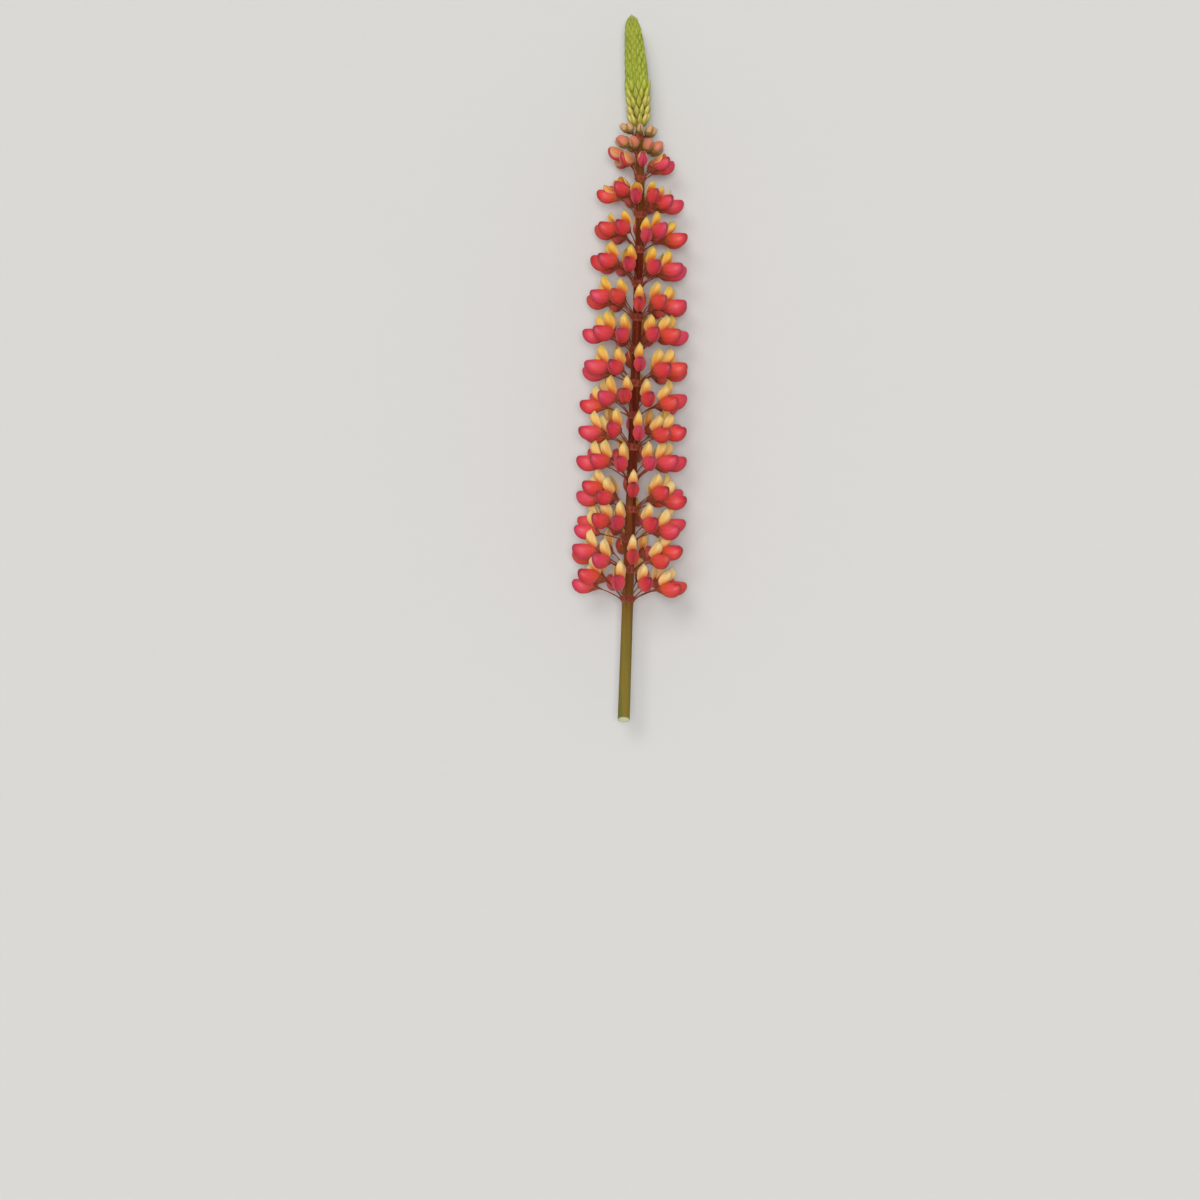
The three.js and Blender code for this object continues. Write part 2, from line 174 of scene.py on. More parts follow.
# %% [markdown]
# ## The stem's line
#
# Everything grows from the stem, so the first formula is the line that it follows. It leans a little, and
# near the tip it nods back. At any place along it there are three directions: along the stem, the side
# that faces up, and the side that faces +X. A flower is drawn once, in its own side view, and these
# directions then set it round the stem.

# %% Follow the stem
LEAN = 0.0335
LEAN_AT_ORIGIN = 3.9
NOD_START = 87.0
NOD = 0.00037
HEIGHT_AT_ORIGIN = 34.9
FALL = 0.02


def unit(vectors):
    """The same directions, each of length one."""
    return vectors / np.linalg.norm(vectors, axis=-1, keepdims=True)


def stem_line(y):
    """The stem's middle: x rises evenly with y and falls back with the square of the way past the nod."""
    past = np.maximum(0, y - NOD_START)
    x = LEAN_AT_ORIGIN + LEAN * y - NOD * past**2
    return np.stack([x, y, HEIGHT_AT_ORIGIN - FALL * y], axis=-1)


def stem_frame(y):
    """The stem's middle at y, its direction there, the side that faces up and the side that faces +X."""
    y = np.asarray(y, float)
    along = unit(stem_line(y + 1) - stem_line(y - 1))
    up = unit(np.array([0.0, 0.0, 1.0]) - along * along[..., 2:])
    return stem_line(y), along, up, np.cross(along, up)


def round_stem(y, angle, out, forward=0.0):
    """Points at a distance out from the stem's middle, at an angle from straight up, moved forward."""
    middle, along, up, side = stem_frame(y)
    outward = up * np.cos(angle)[..., None] + side * np.sin(angle)[..., None]
    return middle + outward * np.asarray(out)[..., None] + along * np.asarray(forward)[..., None]


print("stem's middle at the tip:", stem_line(np.array(265.0)).round(1))

# %% [markdown]
# ## Smooth curves through a few sizes
#
# A petal is known by its size at a few places. A curve that passes smoothly through those sizes gives all
# the others. An end that should close round, like the end of an egg, is smoothed by its squared size.

# %% Carry sizes along a smooth curve
def smooth(knots, values, at):
    """Carries rows of values from knot to knot.

    Between two knots it is the cubic that has, at each knot, the slope of its neighbours.
    """
    knots = np.asarray(knots, float)
    values = np.asarray(values, float).reshape(len(knots), -1)
    slopes = np.gradient(values, knots, axis=0)
    left = np.clip(np.searchsorted(knots, at, side="right") - 1, 0, len(knots) - 2)
    gap = (knots[left + 1] - knots[left])[..., None]
    share = (np.asarray(at) - knots[left])[..., None] / gap
    rest = 1 - share
    steady = values[left] * (1 + 2 * share) * rest**2 + values[left + 1] * (1 + 2 * rest) * share**2
    return steady + gap * share * rest * (slopes[left] * rest - slopes[left + 1] * share)


def smooth_each(knots, sizes, at):
    """Carries several lists of sizes along the same knots, and gives each back by itself."""
    return np.moveaxis(smooth(knots, np.stack(sizes, axis=-1), at), -1, 0)


def round_ended(knots, sizes, at):
    """Sizes that close round where they reach nothing: their squares are smoothed, and the root is taken."""
    return np.sqrt(np.maximum(smooth(knots, np.square(sizes), at)[..., 0], 0))


def bump(at, middle, width, height=1.0):
    """A smooth hill: its height, times e to minus the square of the way from its middle over its width."""
    return height * np.exp(-(((at - middle) / width) ** 2))


def turned_from(turn, start):
    """How far a turn is from a start, either way round, from 0 to half a turn."""
    return np.abs(np.angle(np.exp(1j * (turn - start))))


def once_round(count):
    """Evenly spaced turns, once round."""
    return np.linspace(0, 2 * np.pi, count, endpoint=False)


print("halfway between 1 and 2:", smooth([0, 1, 2], [0, 1, 2], np.array([1.5])).round(3).ravel())

# %% [markdown]
# ## From rings of points to a mesh
#
# A stem, a petal and a bud are all tubes: rings of points, one after another, closed at both ends by a
# fan of triangles. Even a thin petal is one, because a ring can run along the petal's face and back along
# its other face. A piece collects tubes, many copies at a time, and keeps for each corner how far along
# and how far round it is, for the materials to read. It keeps two more numbers for each copy: its tint,
# and its stage, which is how young a flower is or how ripe a bud is.

# %% Collect closed tubes into one piece
class Piece:
    """Collects closed tubes, and makes one mesh of them."""

    def __init__(self):
        self.kept = {}
        self.count = 0

    def tubes(self, rings, finish, across=None, tint=0.0, stage=0.0):
        """Adds copies of a tube. rings has the shape (copies, rings, points round, 3).

        across says how far round each point of a ring is, and once more for where the ring closes.
        """
        copies, rows, columns, _ = rings.shape
        poles = rings[:, [0, -1]].mean(axis=2)
        points = np.concatenate([rings.reshape(copies, -1, 3), poles], axis=1)
        quads, row, column = ring_quads(rows, columns)
        foot, head = rows * columns, rows * columns + 1
        turn = np.arange(columns)
        after = (turn + 1) % columns
        last = foot - columns
        foot_fan = np.stack([after, turn, np.full(columns, foot)], axis=-1)
        head_fan = np.stack([last + turn, last + after, np.full(columns, head)], axis=-1)
        fans = np.concatenate([foot_fan, head_fan])
        across = np.linspace(0, 1, columns + 1) if across is None else across
        place = np.stack(np.meshgrid(np.linspace(0, 1, rows), across, indexing="ij"), axis=-1)
        quad_places = place[row[..., None] + [0, 0, 1, 1], column[..., None] + [0, 1, 1, 0]].reshape(-1, 4, 2)
        left, right = place[[0, -1], :-1], place[[0, -1], 1:]
        foot_places = np.stack([right[0], left[0], (left[0] + right[0]) / 2], axis=1)
        head_places = np.stack([left[1], right[1], (left[1] + right[1]) / 2], axis=1)
        fan_places = np.concatenate([foot_places, head_places])
        if self.volume(points[0], quads, fans) < 0:
            quads, quad_places = quads[:, ::-1], quad_places[:, ::-1]
            fans, fan_places = fans[:, ::-1], fan_places[:, ::-1]
        corners = np.concatenate([quads.ravel(), fans.ravel()])
        shifts = self.count + np.arange(copies)[:, None] * points.shape[1]
        sizes = np.concatenate([np.full(len(quads), 4), np.full(len(fans), 3)])
        places = np.concatenate([quad_places.reshape(-1, 2), fan_places.reshape(-1, 2)])
        self.keep(
            points=points.reshape(-1, 3),
            corners=(corners + shifts).ravel(),
            sizes=np.tile(sizes, copies),
            places=np.tile(places, (copies, 1)),
            finishes=np.full(len(sizes) * copies, finish),
            tint=np.repeat(np.broadcast_to(tint, copies), points.shape[1]),
            stage=np.repeat(np.broadcast_to(stage, copies), points.shape[1]),
        )
        self.count += copies * points.shape[1]

    def keep(self, **arrays):
        """Adds arrays to those that were kept under the same names."""
        for name, array in arrays.items():
            self.kept.setdefault(name, []).append(array)

    def joined(self, name, kind=np.float32):
        """Everything that was kept under a name, as one array."""
        return np.concatenate(self.kept[name]).astype(kind)

    @staticmethod
    def volume(points, quads, fans):
        """The volume inside: a sum of the pyramids from the origin to each triangle."""
        triangles = np.concatenate([quads[:, [0, 1, 2]], quads[:, [0, 2, 3]], fans])
        a, b, c = (points[triangles[:, corner]] for corner in range(3))
        return np.einsum("ij,ij->i", a, np.cross(b, c)).sum()

    def build(self, name, node, materials):
        """Puts the tubes into a mesh at the origin, in metres, that stands for a CAD node."""
        points = self.joined("points", float)
        corners = self.joined("corners", np.int32)
        sizes = self.joined("sizes", np.int32)
        mesh = bpy.data.meshes.new(name)
        mesh.vertices.add(len(points))
        mesh.vertices.foreach_set("co", (points * MM).astype(np.float32).ravel())
        mesh.loops.add(len(corners))
        mesh.loops.foreach_set("vertex_index", corners)
        mesh.polygons.add(len(sizes))
        mesh.polygons.foreach_set("loop_start", np.cumsum(sizes) - sizes)
        mesh.polygons.foreach_set("loop_total", sizes)
        mesh.update(calc_edges=True)
        mesh.polygons.foreach_set("material_index", self.joined("finishes", np.int32))
        mesh.polygons.foreach_set("use_smooth", np.ones(len(sizes), bool))
        mesh.uv_layers.new(name="place").data.foreach_set("uv", self.joined("places").ravel())
        for title in ("tint", "stage"):
            mesh.attributes.new(title, "FLOAT", "POINT").data.foreach_set("value", self.joined(title))
        for material in materials:
            mesh.materials.append(material)
        thing = bpy.data.objects.new(name, mesh)
        bpy.context.scene.collection.objects.link(thing)
        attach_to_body(thing, "root")
        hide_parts(node)
        box = np.array([list(corner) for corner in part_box(node)]) / MM
        inside = (points.min(axis=0) - box[0]).round(1), (box[1] - points.max(axis=0)).round(1)
        print(f"{name}: {len(sizes)} faces; inside {node}'s box by", *inside, "mm")
        return thing


def sheet_rings(face, thickness):
    """A thin petal as a tube: its face, moved half the thickness out, and back along its other face.

    face has the shape (copies, rows, columns, 3). The way out of the face is the cross product of the
    directions to the next point along and the next point across.
    """
    out = unit(np.cross(np.gradient(face, axis=1), np.gradient(face, axis=2)))
    back = (face - out * thickness / 2)[:, :, ::-1]
    return np.concatenate([face + out * thickness / 2, back], axis=2)


def sheet_across(columns):
    """How far across a sheet each point of its rings is: from 0 to 1, and back again."""
    there = np.linspace(0, 1, columns)
    return np.concatenate([there, there[::-1], [0.0]])


# %% [markdown]
# ## Finishes
#
# Petals get their look from three things: the colour changes from the claw to the edge, fine veins run
# along, and a soft down catches light at the edges. All three follow the surface, so the materials read
# how far along and round a point is. Each flower also has a tint and a stage of its own, because no two
# flowers on a spike have quite the same colour. A finish is made like a painting: a first coat, then thin
# layers over parts of it.

# %% Short ways to wire a material
GLOW_DEPTH = 0.0015  # how far light goes through a petal, in metres
VEIN_SLANT = 1.5  # how far veins turn on their way along
VEIN_WANDER = 4.0  # how far noise bends them
VEIN_EDGE = 0.55  # how high on its wave a vein begins


class Finish:
    """A material that is wired up step by step. coat is its colour so far."""

    def __init__(self, name, **numbers):
        """The numbers are set on the shader's own sockets."""
        self.material = bpy.data.materials.new(name)
        self.material.use_nodes = True
        self.shader = self.material.node_tree.nodes["Principled BSDF"]
        for socket, number in numbers.items():
            self.shader.inputs[socket.replace("_", " ")].default_value = number
        place = self.node("UVMap", uv_map="place")[0]
        self.along, self.across, _ = self.node("SeparateXYZ", {0: place})
        self.coat = None

    def node(self, kind, inputs=(), **settings):
        """Adds a node. Each of its inputs is linked where a socket is given, and else is set."""
        node = self.material.node_tree.nodes.new("ShaderNode" + kind)
        for setting, value in settings.items():
            setattr(node, setting, value)
        for socket, value in dict(inputs).items():
            if isinstance(value, bpy.types.NodeSocket):
                self.material.node_tree.links.new(value, node.inputs[socket])
            else:
                node.inputs[socket].default_value = value
        return node.outputs

    def math(self, operation, *numbers):
        """One sum or function of numbers."""
        return self.node("Math", dict(enumerate(numbers)), operation=operation)[0]

    def off(self, value, middle):
        """How far a value is from a middle one."""
        return self.math("ABSOLUTE", self.math("SUBTRACT", value, middle))

    def between(self, value, low, high, start=0.0, end=1.0):
        """Carries a value from one range to another, and holds it at the ends."""
        return self.node("MapRange", {0: value, 1: low, 2: high, 3: start, 4: end})[0]

    def own(self, title):
        """A number that each flower has of its own."""
        return self.node("Attribute", attribute_name=title)["Fac"]

    def speckle(self, scale, detail=3.0, stretch=None):
        """Cloudy noise from 0 to 1, in cycles per metre, stretched where a direction's number is small."""
        place = self.node("TexCoord")["Object"]
        if stretch is not None:
            place = self.node("Mapping", {"Vector": place, "Scale": stretch})[0]
        return self.node("TexNoise", {"Vector": place, "Scale": scale, "Detail": detail})["Fac"]

    def veins(self, count, wander):
        """Thin lines that run along a petal: the top of a wave across it, bent by noise."""
        turns = self.math("MULTIPLY", self.across, count * 2 * np.pi)
        slanted = self.math("MULTIPLY_ADD", self.along, VEIN_SLANT, turns)
        wave = self.math("SINE", self.math("MULTIPLY_ADD", self.speckle(wander), VEIN_WANDER, slanted))
        return self.between(wave, VEIN_EDGE, 1.0)

    def ramp(self, value, *stops):
        """A colour for each value from 0 to 1. A stop is a value, and a colour's red, green and blue."""
        shades = self.node("ValToRGB", {"Fac": value})[0]
        elements = shades.node.color_ramp.elements
        while len(elements) < len(stops):
            elements.new(0.5)
        for element, (position, *shade) in zip(elements, stops):
            element.position = position
            element.color = colour(*shade)
        return shades

    def paint(self, share, shade):
        """Covers a share of the coat with another colour, or with a ramp."""
        over = shade if isinstance(shade, bpy.types.NodeSocket) else colour(*shade)
        inputs = {0: share, 6: self.coat, 7: over}
        self.coat = self.node("Mix", inputs, data_type="RGBA", clamp_factor=True)[2]

    def done(self, lines, distance, strength=0.5, grain=900, coarseness=0.4):
        """Links the colour, and as bump the lines with a grain over them, distance millimetres high."""
        height = self.math("MULTIPLY_ADD", self.speckle(grain), coarseness, lines)
        relief = self.node("Bump", {"Height": height, "Distance": distance * MM, "Strength": strength})
        self.material.node_tree.links.new(self.coat, self.shader.inputs["Base Color"])
        self.material.node_tree.links.new(relief[0], self.shader.inputs["Normal"])
        print("finished:", self.material.name)
        return self.material


print("a petal glows to", GLOW_DEPTH / MM, "mm under its skin")

# %% [markdown]
# ### Wing petals
#
# The two wings of a lupin flower close into a pouch. They are coral red: more orange near the calyx, and
# pinker where they are freshest. They are darker at the tip and along the belly: partly the petals' own
# deeper red, and partly painted shade on the pouch's far end and its underside. Their cheeks bulge towards
# the light, so a painted highlight makes them a little paler there.

# %% Finish the wing petals
def wing_finish():
    """Across the pouch, 0 and 1 are its back and 0.5 is its belly."""
    petal = Finish(
        "wing_petals",
        Roughness=0.5,
        Subsurface_Weight=0.12,
        Subsurface_Scale=GLOW_DEPTH,
        Sheen_Weight=0.14,
        Sheen_Roughness=0.45,
        Sheen_Tint=colour(255, 140, 124),
    )
    # The last, darkest stop at the tip is partly the petals' own deeper red and partly painted shade.
    petal.coat = petal.ramp(
        petal.along,
        (0.0, 214, 104, 44),
        (0.22, 220, 76, 42),
        (0.5, 222, 50, 51),
        (0.78, 208, 36, 52),
        (1.0, 128, 12, 34),
    )
    fresh = petal.math("MULTIPLY_ADD", petal.own("tint"), 0.3, petal.speckle(90))
    petal.paint(petal.between(fresh, 0.45, 0.95, 0.0, 0.8), (222, 66, 106))
    petal.paint(petal.between(fresh, 0.38, 0.05, 0.0, 0.65), (224, 84, 40))
    from_belly = petal.off(petal.across, 0.5)
    # A painted highlight: the cheeks are paler where they bulge towards the light.
    cheek = petal.between(petal.off(from_belly, 0.3), 0.16, 0.0)
    middle = petal.between(petal.off(petal.along, 0.45), 0.3, 0.05, 0.0, 0.45)
    petal.paint(petal.math("MULTIPLY", cheek, middle), (238, 92, 96))
    # The belly darkens: partly the petals' own deeper red, partly painted shade on the underside.
    petal.paint(petal.between(from_belly, 0.0, 0.25, 0.6, 0.0), (122, 12, 30))
    # Painted shade: a dark line in the groove of the back seam, where the two wings meet.
    petal.paint(petal.between(from_belly, 0.465, 0.5, 0.0, 0.5), (130, 16, 36))
    lines = petal.veins(17, 160)
    petal.paint(petal.math("MULTIPLY", lines, 0.13), (130, 14, 30))
    return petal.done(lines, 0.12)


WING_FINISH = wing_finish()

# %% [markdown]
# ### Banner petals
#
# The banner stands up behind the wings. It is orange red at its claw and golden yellow above. On young
# flowers its edge is still greenish, and on the oldest it has faded to cream. On those that are only just
# opening the whole petal is a dull salmon.

# %% Finish the banner petals
def banner_finish():
    """Across the petal, 0 and 1 are its edges and 0.5 is its fold."""
    petal = Finish(
        "banner_petals",
        Roughness=0.55,
        Subsurface_Weight=0.18,
        Subsurface_Scale=GLOW_DEPTH,
        Sheen_Weight=0.25,
        Sheen_Roughness=0.5,
        Sheen_Tint=colour(255, 235, 190),
    )
    young = petal.ramp(
        petal.along,
        (0.0, 180, 52, 30),
        (0.28, 222, 112, 36),
        (0.5, 240, 172, 44),
        (0.75, 238, 190, 68),
        (1.0, 196, 192, 68),
    )
    petal.coat = petal.ramp(
        petal.along,
        (0.0, 190, 66, 42),
        (0.25, 226, 132, 66),
        (0.45, 240, 188, 106),
        (0.8, 243, 212, 144),
        (1.0, 230, 216, 160),
    )
    stage = petal.own("stage")
    varied = petal.math("MULTIPLY_ADD", petal.own("tint"), 0.12, stage)
    petal.paint(petal.between(varied, 0.05, 0.75), young)
    petal.paint(petal.between(stage, 0.93, 1.0, 0.0, 0.85), (214, 122, 84))
    petal.paint(petal.between(petal.off(petal.across, 0.5), 0.36, 0.5, 0.0, 0.4), (236, 220, 160))
    lines = petal.veins(12, 140)
    petal.paint(petal.math("MULTIPLY", lines, 0.2), (214, 120, 40))
    return petal.done(lines, 0.2)


BANNER_FINISH = banner_finish()

# %% [markdown]
# ### Calyx, pedicel and stem
#
# The calyx is the cup that holds the petals, and the pedicel is the flower's own stalk. Both are maroon
# brown with silky hairs that lie along them. The stem is olive green at the cut end, and it darkens to
# maroon brown among the flowers, with fine streaks along it. That dark maroon is partly the stem's own
# colour and partly painted shade, where the flowers crowd round the stem.

# %% Finish the calyx and the pedicels
def downy_finish(name, dark, light, down):
    """A downy part: two colours in streaks along it, and a sheen in the colour of its down."""
    skin = Finish(name, Roughness=0.65, Sheen_Weight=0.18, Sheen_Roughness=0.4, Sheen_Tint=colour(*down))
    streaks = skin.veins(9, 300)
    share = skin.math("MULTIPLY_ADD", streaks, 0.24, skin.speckle(220))
    skin.coat = colour(*dark)
    skin.paint(skin.between(share, 0.3, 1.0), light)
    return skin.done(streaks, 0.2, 0.7, grain=1500, coarseness=0.8)


CALYX_FINISH = downy_finish("calyx", (138, 44, 26), (188, 98, 50), (230, 180, 130))
PEDICEL_FINISH = downy_finish("pedicel", (128, 36, 18), (176, 84, 40), (220, 160, 110))

# %% Finish the stem
CUT_SHARE = 0.02  # how much of the way along the stem's rings the cut face takes


def stem_finish():
    """A colour for each place along the stem, with pale and dark streaks of noise drawn out along it."""
    skin = Finish(
        "stem",
        Roughness=0.7,
        Specular_IOR_Level=0.1,
        Sheen_Weight=0.08,
        Sheen_Roughness=0.4,
        Sheen_Tint=colour(220, 190, 150),
    )
    # Among the flowers the coat is dark maroon: partly the stem's own colour, partly painted shade from the
    # flowers round it.
    skin.coat = skin.ramp(
        skin.along,
        (0.0, 120, 122, 48),
        (0.17, 126, 108, 44),
        (0.27, 116, 56, 22),
        (0.5, 100, 24, 6),
        (0.8, 108, 30, 8),
        (1.0, 126, 94, 26),
    )
    streaks = skin.speckle(260, 4.0, (1.0, 0.04, 1.0))
    skin.paint(skin.between(streaks, 0.45, 0.75, 0.0, 0.45), (146, 94, 38))
    skin.paint(skin.between(streaks, 0.55, 0.3, 0.0, 0.5), (66, 12, 4))
    return skin.done(skin.veins(11, 60), 0.25, 0.6, grain=1200, coarseness=0.5)


def cut_finish():
    """The cut face: pale pith in the middle, a ring of darker, dotted strands, and the green rind."""
    face = Finish("cut_face", Roughness=0.45)
    face.coat = face.ramp(
        face.between(face.along, 0.0, CUT_SHARE),
        (0.0, 226, 226, 190),
        (0.55, 210, 214, 164),
        (0.8, 176, 188, 112),
        (1.0, 122, 136, 58),
    )
    dots = face.speckle(1800)
    face.paint(face.between(dots, 0.5, 0.7, 0.0, 0.4), (150, 164, 88))
    return face.done(dots, 0.15, coarseness=0.0)


STEM_FINISH = stem_finish()
CUT_FINISH = cut_finish()

# %% [markdown]
# ## Silky down
#
# A lupin's stem and its youngest buds are silky. Each hair is a needle of three thin sides, and the draw
# that places them has a fixed seed, so the same hairs grow on every run. They stand out and forward.

# %% Shape the down
HAIR_SEED = 7
HAIR_RINGS = np.array([(0.0, 1.0), (0.55, 0.75), (0.97, 0.15)])  # share of the length, of the thickness
HAIR_SIDES = 3
HAIR_CURL = 0.25
HAIR_SLANTS = (0.4, 1.6)  # the least and the most that a hair goes forward for each step out
HAIR_LENGTHS = (0.6, 1.2)  # shares of the length that is asked for
LIKE_NO_HAIR = np.array([0.3, 0.1, 0.95])  # a direction that no hair points in


def hairs(root, way, length, thickness):
    """Hairs as tubes of three sides that narrow along their way from their root.

    A hair bends aside with the square of the share of its length.
    """
    across = unit(np.cross(way, LIKE_NO_HAIR))
    other = np.cross(way, across)
    turn = once_round(HAIR_SIDES)[:, None]
    share, width = HAIR_RINGS[:, 0, None], HAIR_RINGS[:, 1]
    length = length[:, None, None]
    middle = root[:, None] + way[:, None] * share * length + other[:, None] * HAIR_CURL * share**2 * length
    ring = np.cos(turn) * across[:, None, None] + np.sin(turn) * other[:, None, None]
    return middle[:, :, None] + ring * (thickness * width)[:, None, None]


def down(count, low, high, radius, inset, length, thickness):
    """Hairs on a round body from low to high along the stem. radius is a function of y."""
    chance = np.random.default_rng(HAIR_SEED)
    y = chance.uniform(low, high, count)
    angle = chance.uniform(0, 2 * np.pi, count)
    root = round_stem(y, angle, radius(y) - inset)
    out = unit(round_stem(y, angle, radius(y)) - root)
    along = stem_frame(y)[1]
    way = unit(out + along * chance.uniform(*HAIR_SLANTS, count)[:, None])
    return hairs(root, way, length * chance.uniform(*HAIR_LENGTHS, count), thickness)


DOWN_FINISH = downy_finish("silky_down", (206, 212, 120), (224, 228, 150), (245, 250, 200))
STEM_DOWN_FINISH = downy_finish("stem_down", (150, 104, 62), (188, 150, 98), (230, 200, 150))
print("a hair has", HAIR_SIDES * (len(HAIR_RINGS) + 1), "faces")

# %% [markdown]
# ## The stem
#
# A stem is a tube along a curve. Its radius falls slowly from the cut end to the tip. It has low ribs, it
# swells a little at each whorl, and the cut goes through it at a slant. A cylinder bent by a modifier would
# do, but a grid of rings holds the ribs, the swellings and the slant in one formula.

# %% Where the whorls are
WHORLS = 14
LOWEST_WHORL_Y = -163.0
LOWEST_PITCH = 22.1
PITCH_GROWTH = 0.342
ATTACH_BELOW = 10.0
TOP_SHRINKS = 0.18  # how much smaller the flowers of the top ring are


def whorl_place(index):
    """Where a whorl's pedicels leave the stem, and its flowers' size. Each pitch is a little longer."""
    size = 1 - TOP_SHRINKS * (index / (WHORLS - 1)) ** 10
    y = LOWEST_WHORL_Y + index * LOWEST_PITCH + PITCH_GROWTH * index * (index - 1) / 2
    return y - ATTACH_BELOW * size, size


BUD_WHORLS = [
    dict(y=168.0, attach=160.5, reach=19.5, length=12.0, half_width=3.9, skew=3.0, slope=0.5),
    dict(y=179.5, attach=173.5, reach=13.4, length=8.8, half_width=2.6, skew=2.0, slope=0.8),
]
ATTACHES = [whorl_place(index)[0] for index in range(WHORLS)] + [bud["attach"] for bud in BUD_WHORLS]
print("pedicels leave the stem at:", np.round(ATTACHES, 1))

# %% Build the stem
CUT_END_Y = -263.0
STEM_END_Y = 178.4
STEM_RADIUS_AT = [CUT_END_Y, -215.0, -163.0, -80.0, 0.0, 60.0, 105.0, 145.0, STEM_END_Y]
STEM_RADII = [4.5, 4.3, 4.1, 3.7, 3.5, 3.35, 3.2, 3.0, 2.7]
STEM_COLUMNS = 44
STEM_STEP = 2.2
STEM_RIBS = 11
RIB_HEIGHT = 0.07
RIB_TWIST = 0.004
NODE_SWELLING = 0.3
NODE_LENGTH = 3.5
CUT_SLANT = 0.45
CUT_FADES_IN = 12.0
CUT_RINGS = [0.25, 0.55, 0.8, 0.93, 0.985]  # share of the stem's radius
PITH_SHRINKS = np.array([0.5, 0.35, 0.1, 0.0, 0.0])  # how far each ring has drawn back from the cut
RIND_STARTS = 0.35
STEM_HAIRS = 4200
BALD_END = 6.0  # how much of the cut end has lost its hairs


def stem_radius(y):
    """The stem's radius, in straight steps between the places where it is known."""
    return np.interp(y, STEM_RADIUS_AT, STEM_RADII)


def stem_rings(y, share):
    """Rings of the stem at y. Their radius is share of the stem's, with ribs and swellings.

    The ribs are a cosine round the stem that turns slowly along it. The cut is a shift along the stem
    that grows with the height over the stem's middle and dies away from the cut end.
    """
    angle = once_round(STEM_COLUMNS)[None]
    y, share = y[:, None], share[:, None]
    swelling = sum(bump(y, attach, NODE_LENGTH, NODE_SWELLING) for attach in ATTACHES)
    ribs = RIB_HEIGHT * np.cos(STEM_RIBS * angle + RIB_TWIST * y)
    radius = (stem_radius(y) + swelling + ribs) * share
    fades = np.clip(1 - (y - CUT_END_Y) / CUT_FADES_IN, 0, 1)
    forward = CUT_SLANT * radius * np.cos(angle) * fades
    return round_stem(y, angle, radius, forward)


def build_stem():
    """The rings run from the middle of the cut face out to the rind, and then along the stem."""
    side = np.arange(CUT_END_Y + RIND_STARTS, STEM_END_Y, STEM_STEP)
    y = np.concatenate([CUT_END_Y + PITH_SHRINKS, side, [STEM_END_Y]])
    share = np.concatenate([CUT_RINGS, np.ones(len(side) + 1)])
    stem = Piece()
    stem.tubes(stem_rings(y, share)[None], 0)
    finishes = stem.kept["finishes"][0]
    finishes[: (len(CUT_RINGS) - 1) * STEM_COLUMNS] = 1
    first_fan = (len(y) - 1) * STEM_COLUMNS
    finishes[first_fan : first_fan + STEM_COLUMNS] = 1
    hair = dict(radius=stem_radius, inset=0.15, length=1.15, thickness=0.035)
    stem.tubes(down(STEM_HAIRS, CUT_END_Y + BALD_END, STEM_END_Y, **hair), 2)
    return stem.build("flower_stem", "stem", [STEM_FINISH, CUT_FINISH, STEM_DOWN_FINISH])


build_stem()

# %% [markdown]
# ## One flower, in its side view
#
# A lupin flower is drawn here in three directions: a is out from the stem, b is up along it and c is to
# the side. The wings are a plump pouch with a seam along its back and one along its belly. A face drawn
# as one closed skin with two grooves looks the same as two petals pressed together, and stays clean.

# %% Shape the pouch of the wings
WING_KNOTS = [2.6, 4.5, 9.4, 15.2, 19.0, 20.8]  # a
WING_MIDDLES = [1.1, 1.4, 0.8, 1.1, 3.2, 4.9]  # b
WING_SLOPES = [0.2, 0.1, 0.0, 0.2, 0.5, 0.6]
WING_HALF_HEIGHTS = [1.5, 3.5, 5.8, 5.7, 3.5, 0.0]
WING_HALF_WIDTHS = [1.2, 2.8, 4.5, 4.4, 2.7, 0.0]
WING_ROWS = 20
WING_COLUMNS = 30
TIP_CROWDING = 1.6  # above 1, the rings stand closer together towards the tip
SEAM_CROWDING = 0.3
BACK_SEAM = dict(middle=0.0, width=0.13, height=0.17)  # turns, and a share of the pouch's size
BELLY_SEAM = dict(middle=np.pi, width=0.15, height=0.1)
DIMPLE_ROUND = dict(middle=0.95, width=0.4, height=0.07)
DIMPLE_ALONG = dict(middle=0.34, width=0.16)
RIPPLE = 0.012  # low waves all over the pouch
RIPPLES_ROUND = 7
RIPPLES_ALONG = 9
TOP_HEAVY = 0.18  # how much wider the pouch is above its middle


def extent(points):
    """A shape's size along each direction."""
    return np.ptp(points.reshape(-1, 3), axis=0).round(1)


def pouch(share, turn, swell=0.0):
    """The wings' skin at a share of their length and a turn from their back.

    A ring is an ellipse, wider above its middle than below. Two hills are taken from it for the seams, and
    one on each cheek for the dimple behind the petals' shoulder.
    """
    a = WING_KNOTS[0] + (WING_KNOTS[-1] - WING_KNOTS[0]) * (1 - (1 - share) ** TIP_CROWDING)
    middle, slope = smooth_each(WING_KNOTS, [WING_MIDDLES, WING_SLOPES], a)
    half_height = round_ended(WING_KNOTS, WING_HALF_HEIGHTS, a) + swell
    half_width = round_ended(WING_KNOTS, WING_HALF_WIDTHS, a) + swell
    off_back = turned_from(turn, 0)
    grooves = bump(off_back, **BACK_SEAM) + bump(off_back, **BELLY_SEAM)
    dimple = bump(off_back, **DIMPLE_ROUND) * bump(share, **DIMPLE_ALONG)
    ripple = RIPPLE * np.sin(RIPPLES_ROUND * off_back + RIPPLES_ALONG * share)
    fullness = 1 - grooves - dimple + ripple
    rise = half_height * np.cos(turn) * fullness
    c = half_width * np.sin(turn) * fullness * (1 + TOP_HEAVY * np.cos(turn))
    return np.stack([a - rise * np.sin(slope), middle + rise * np.cos(slope), c], axis=-1)


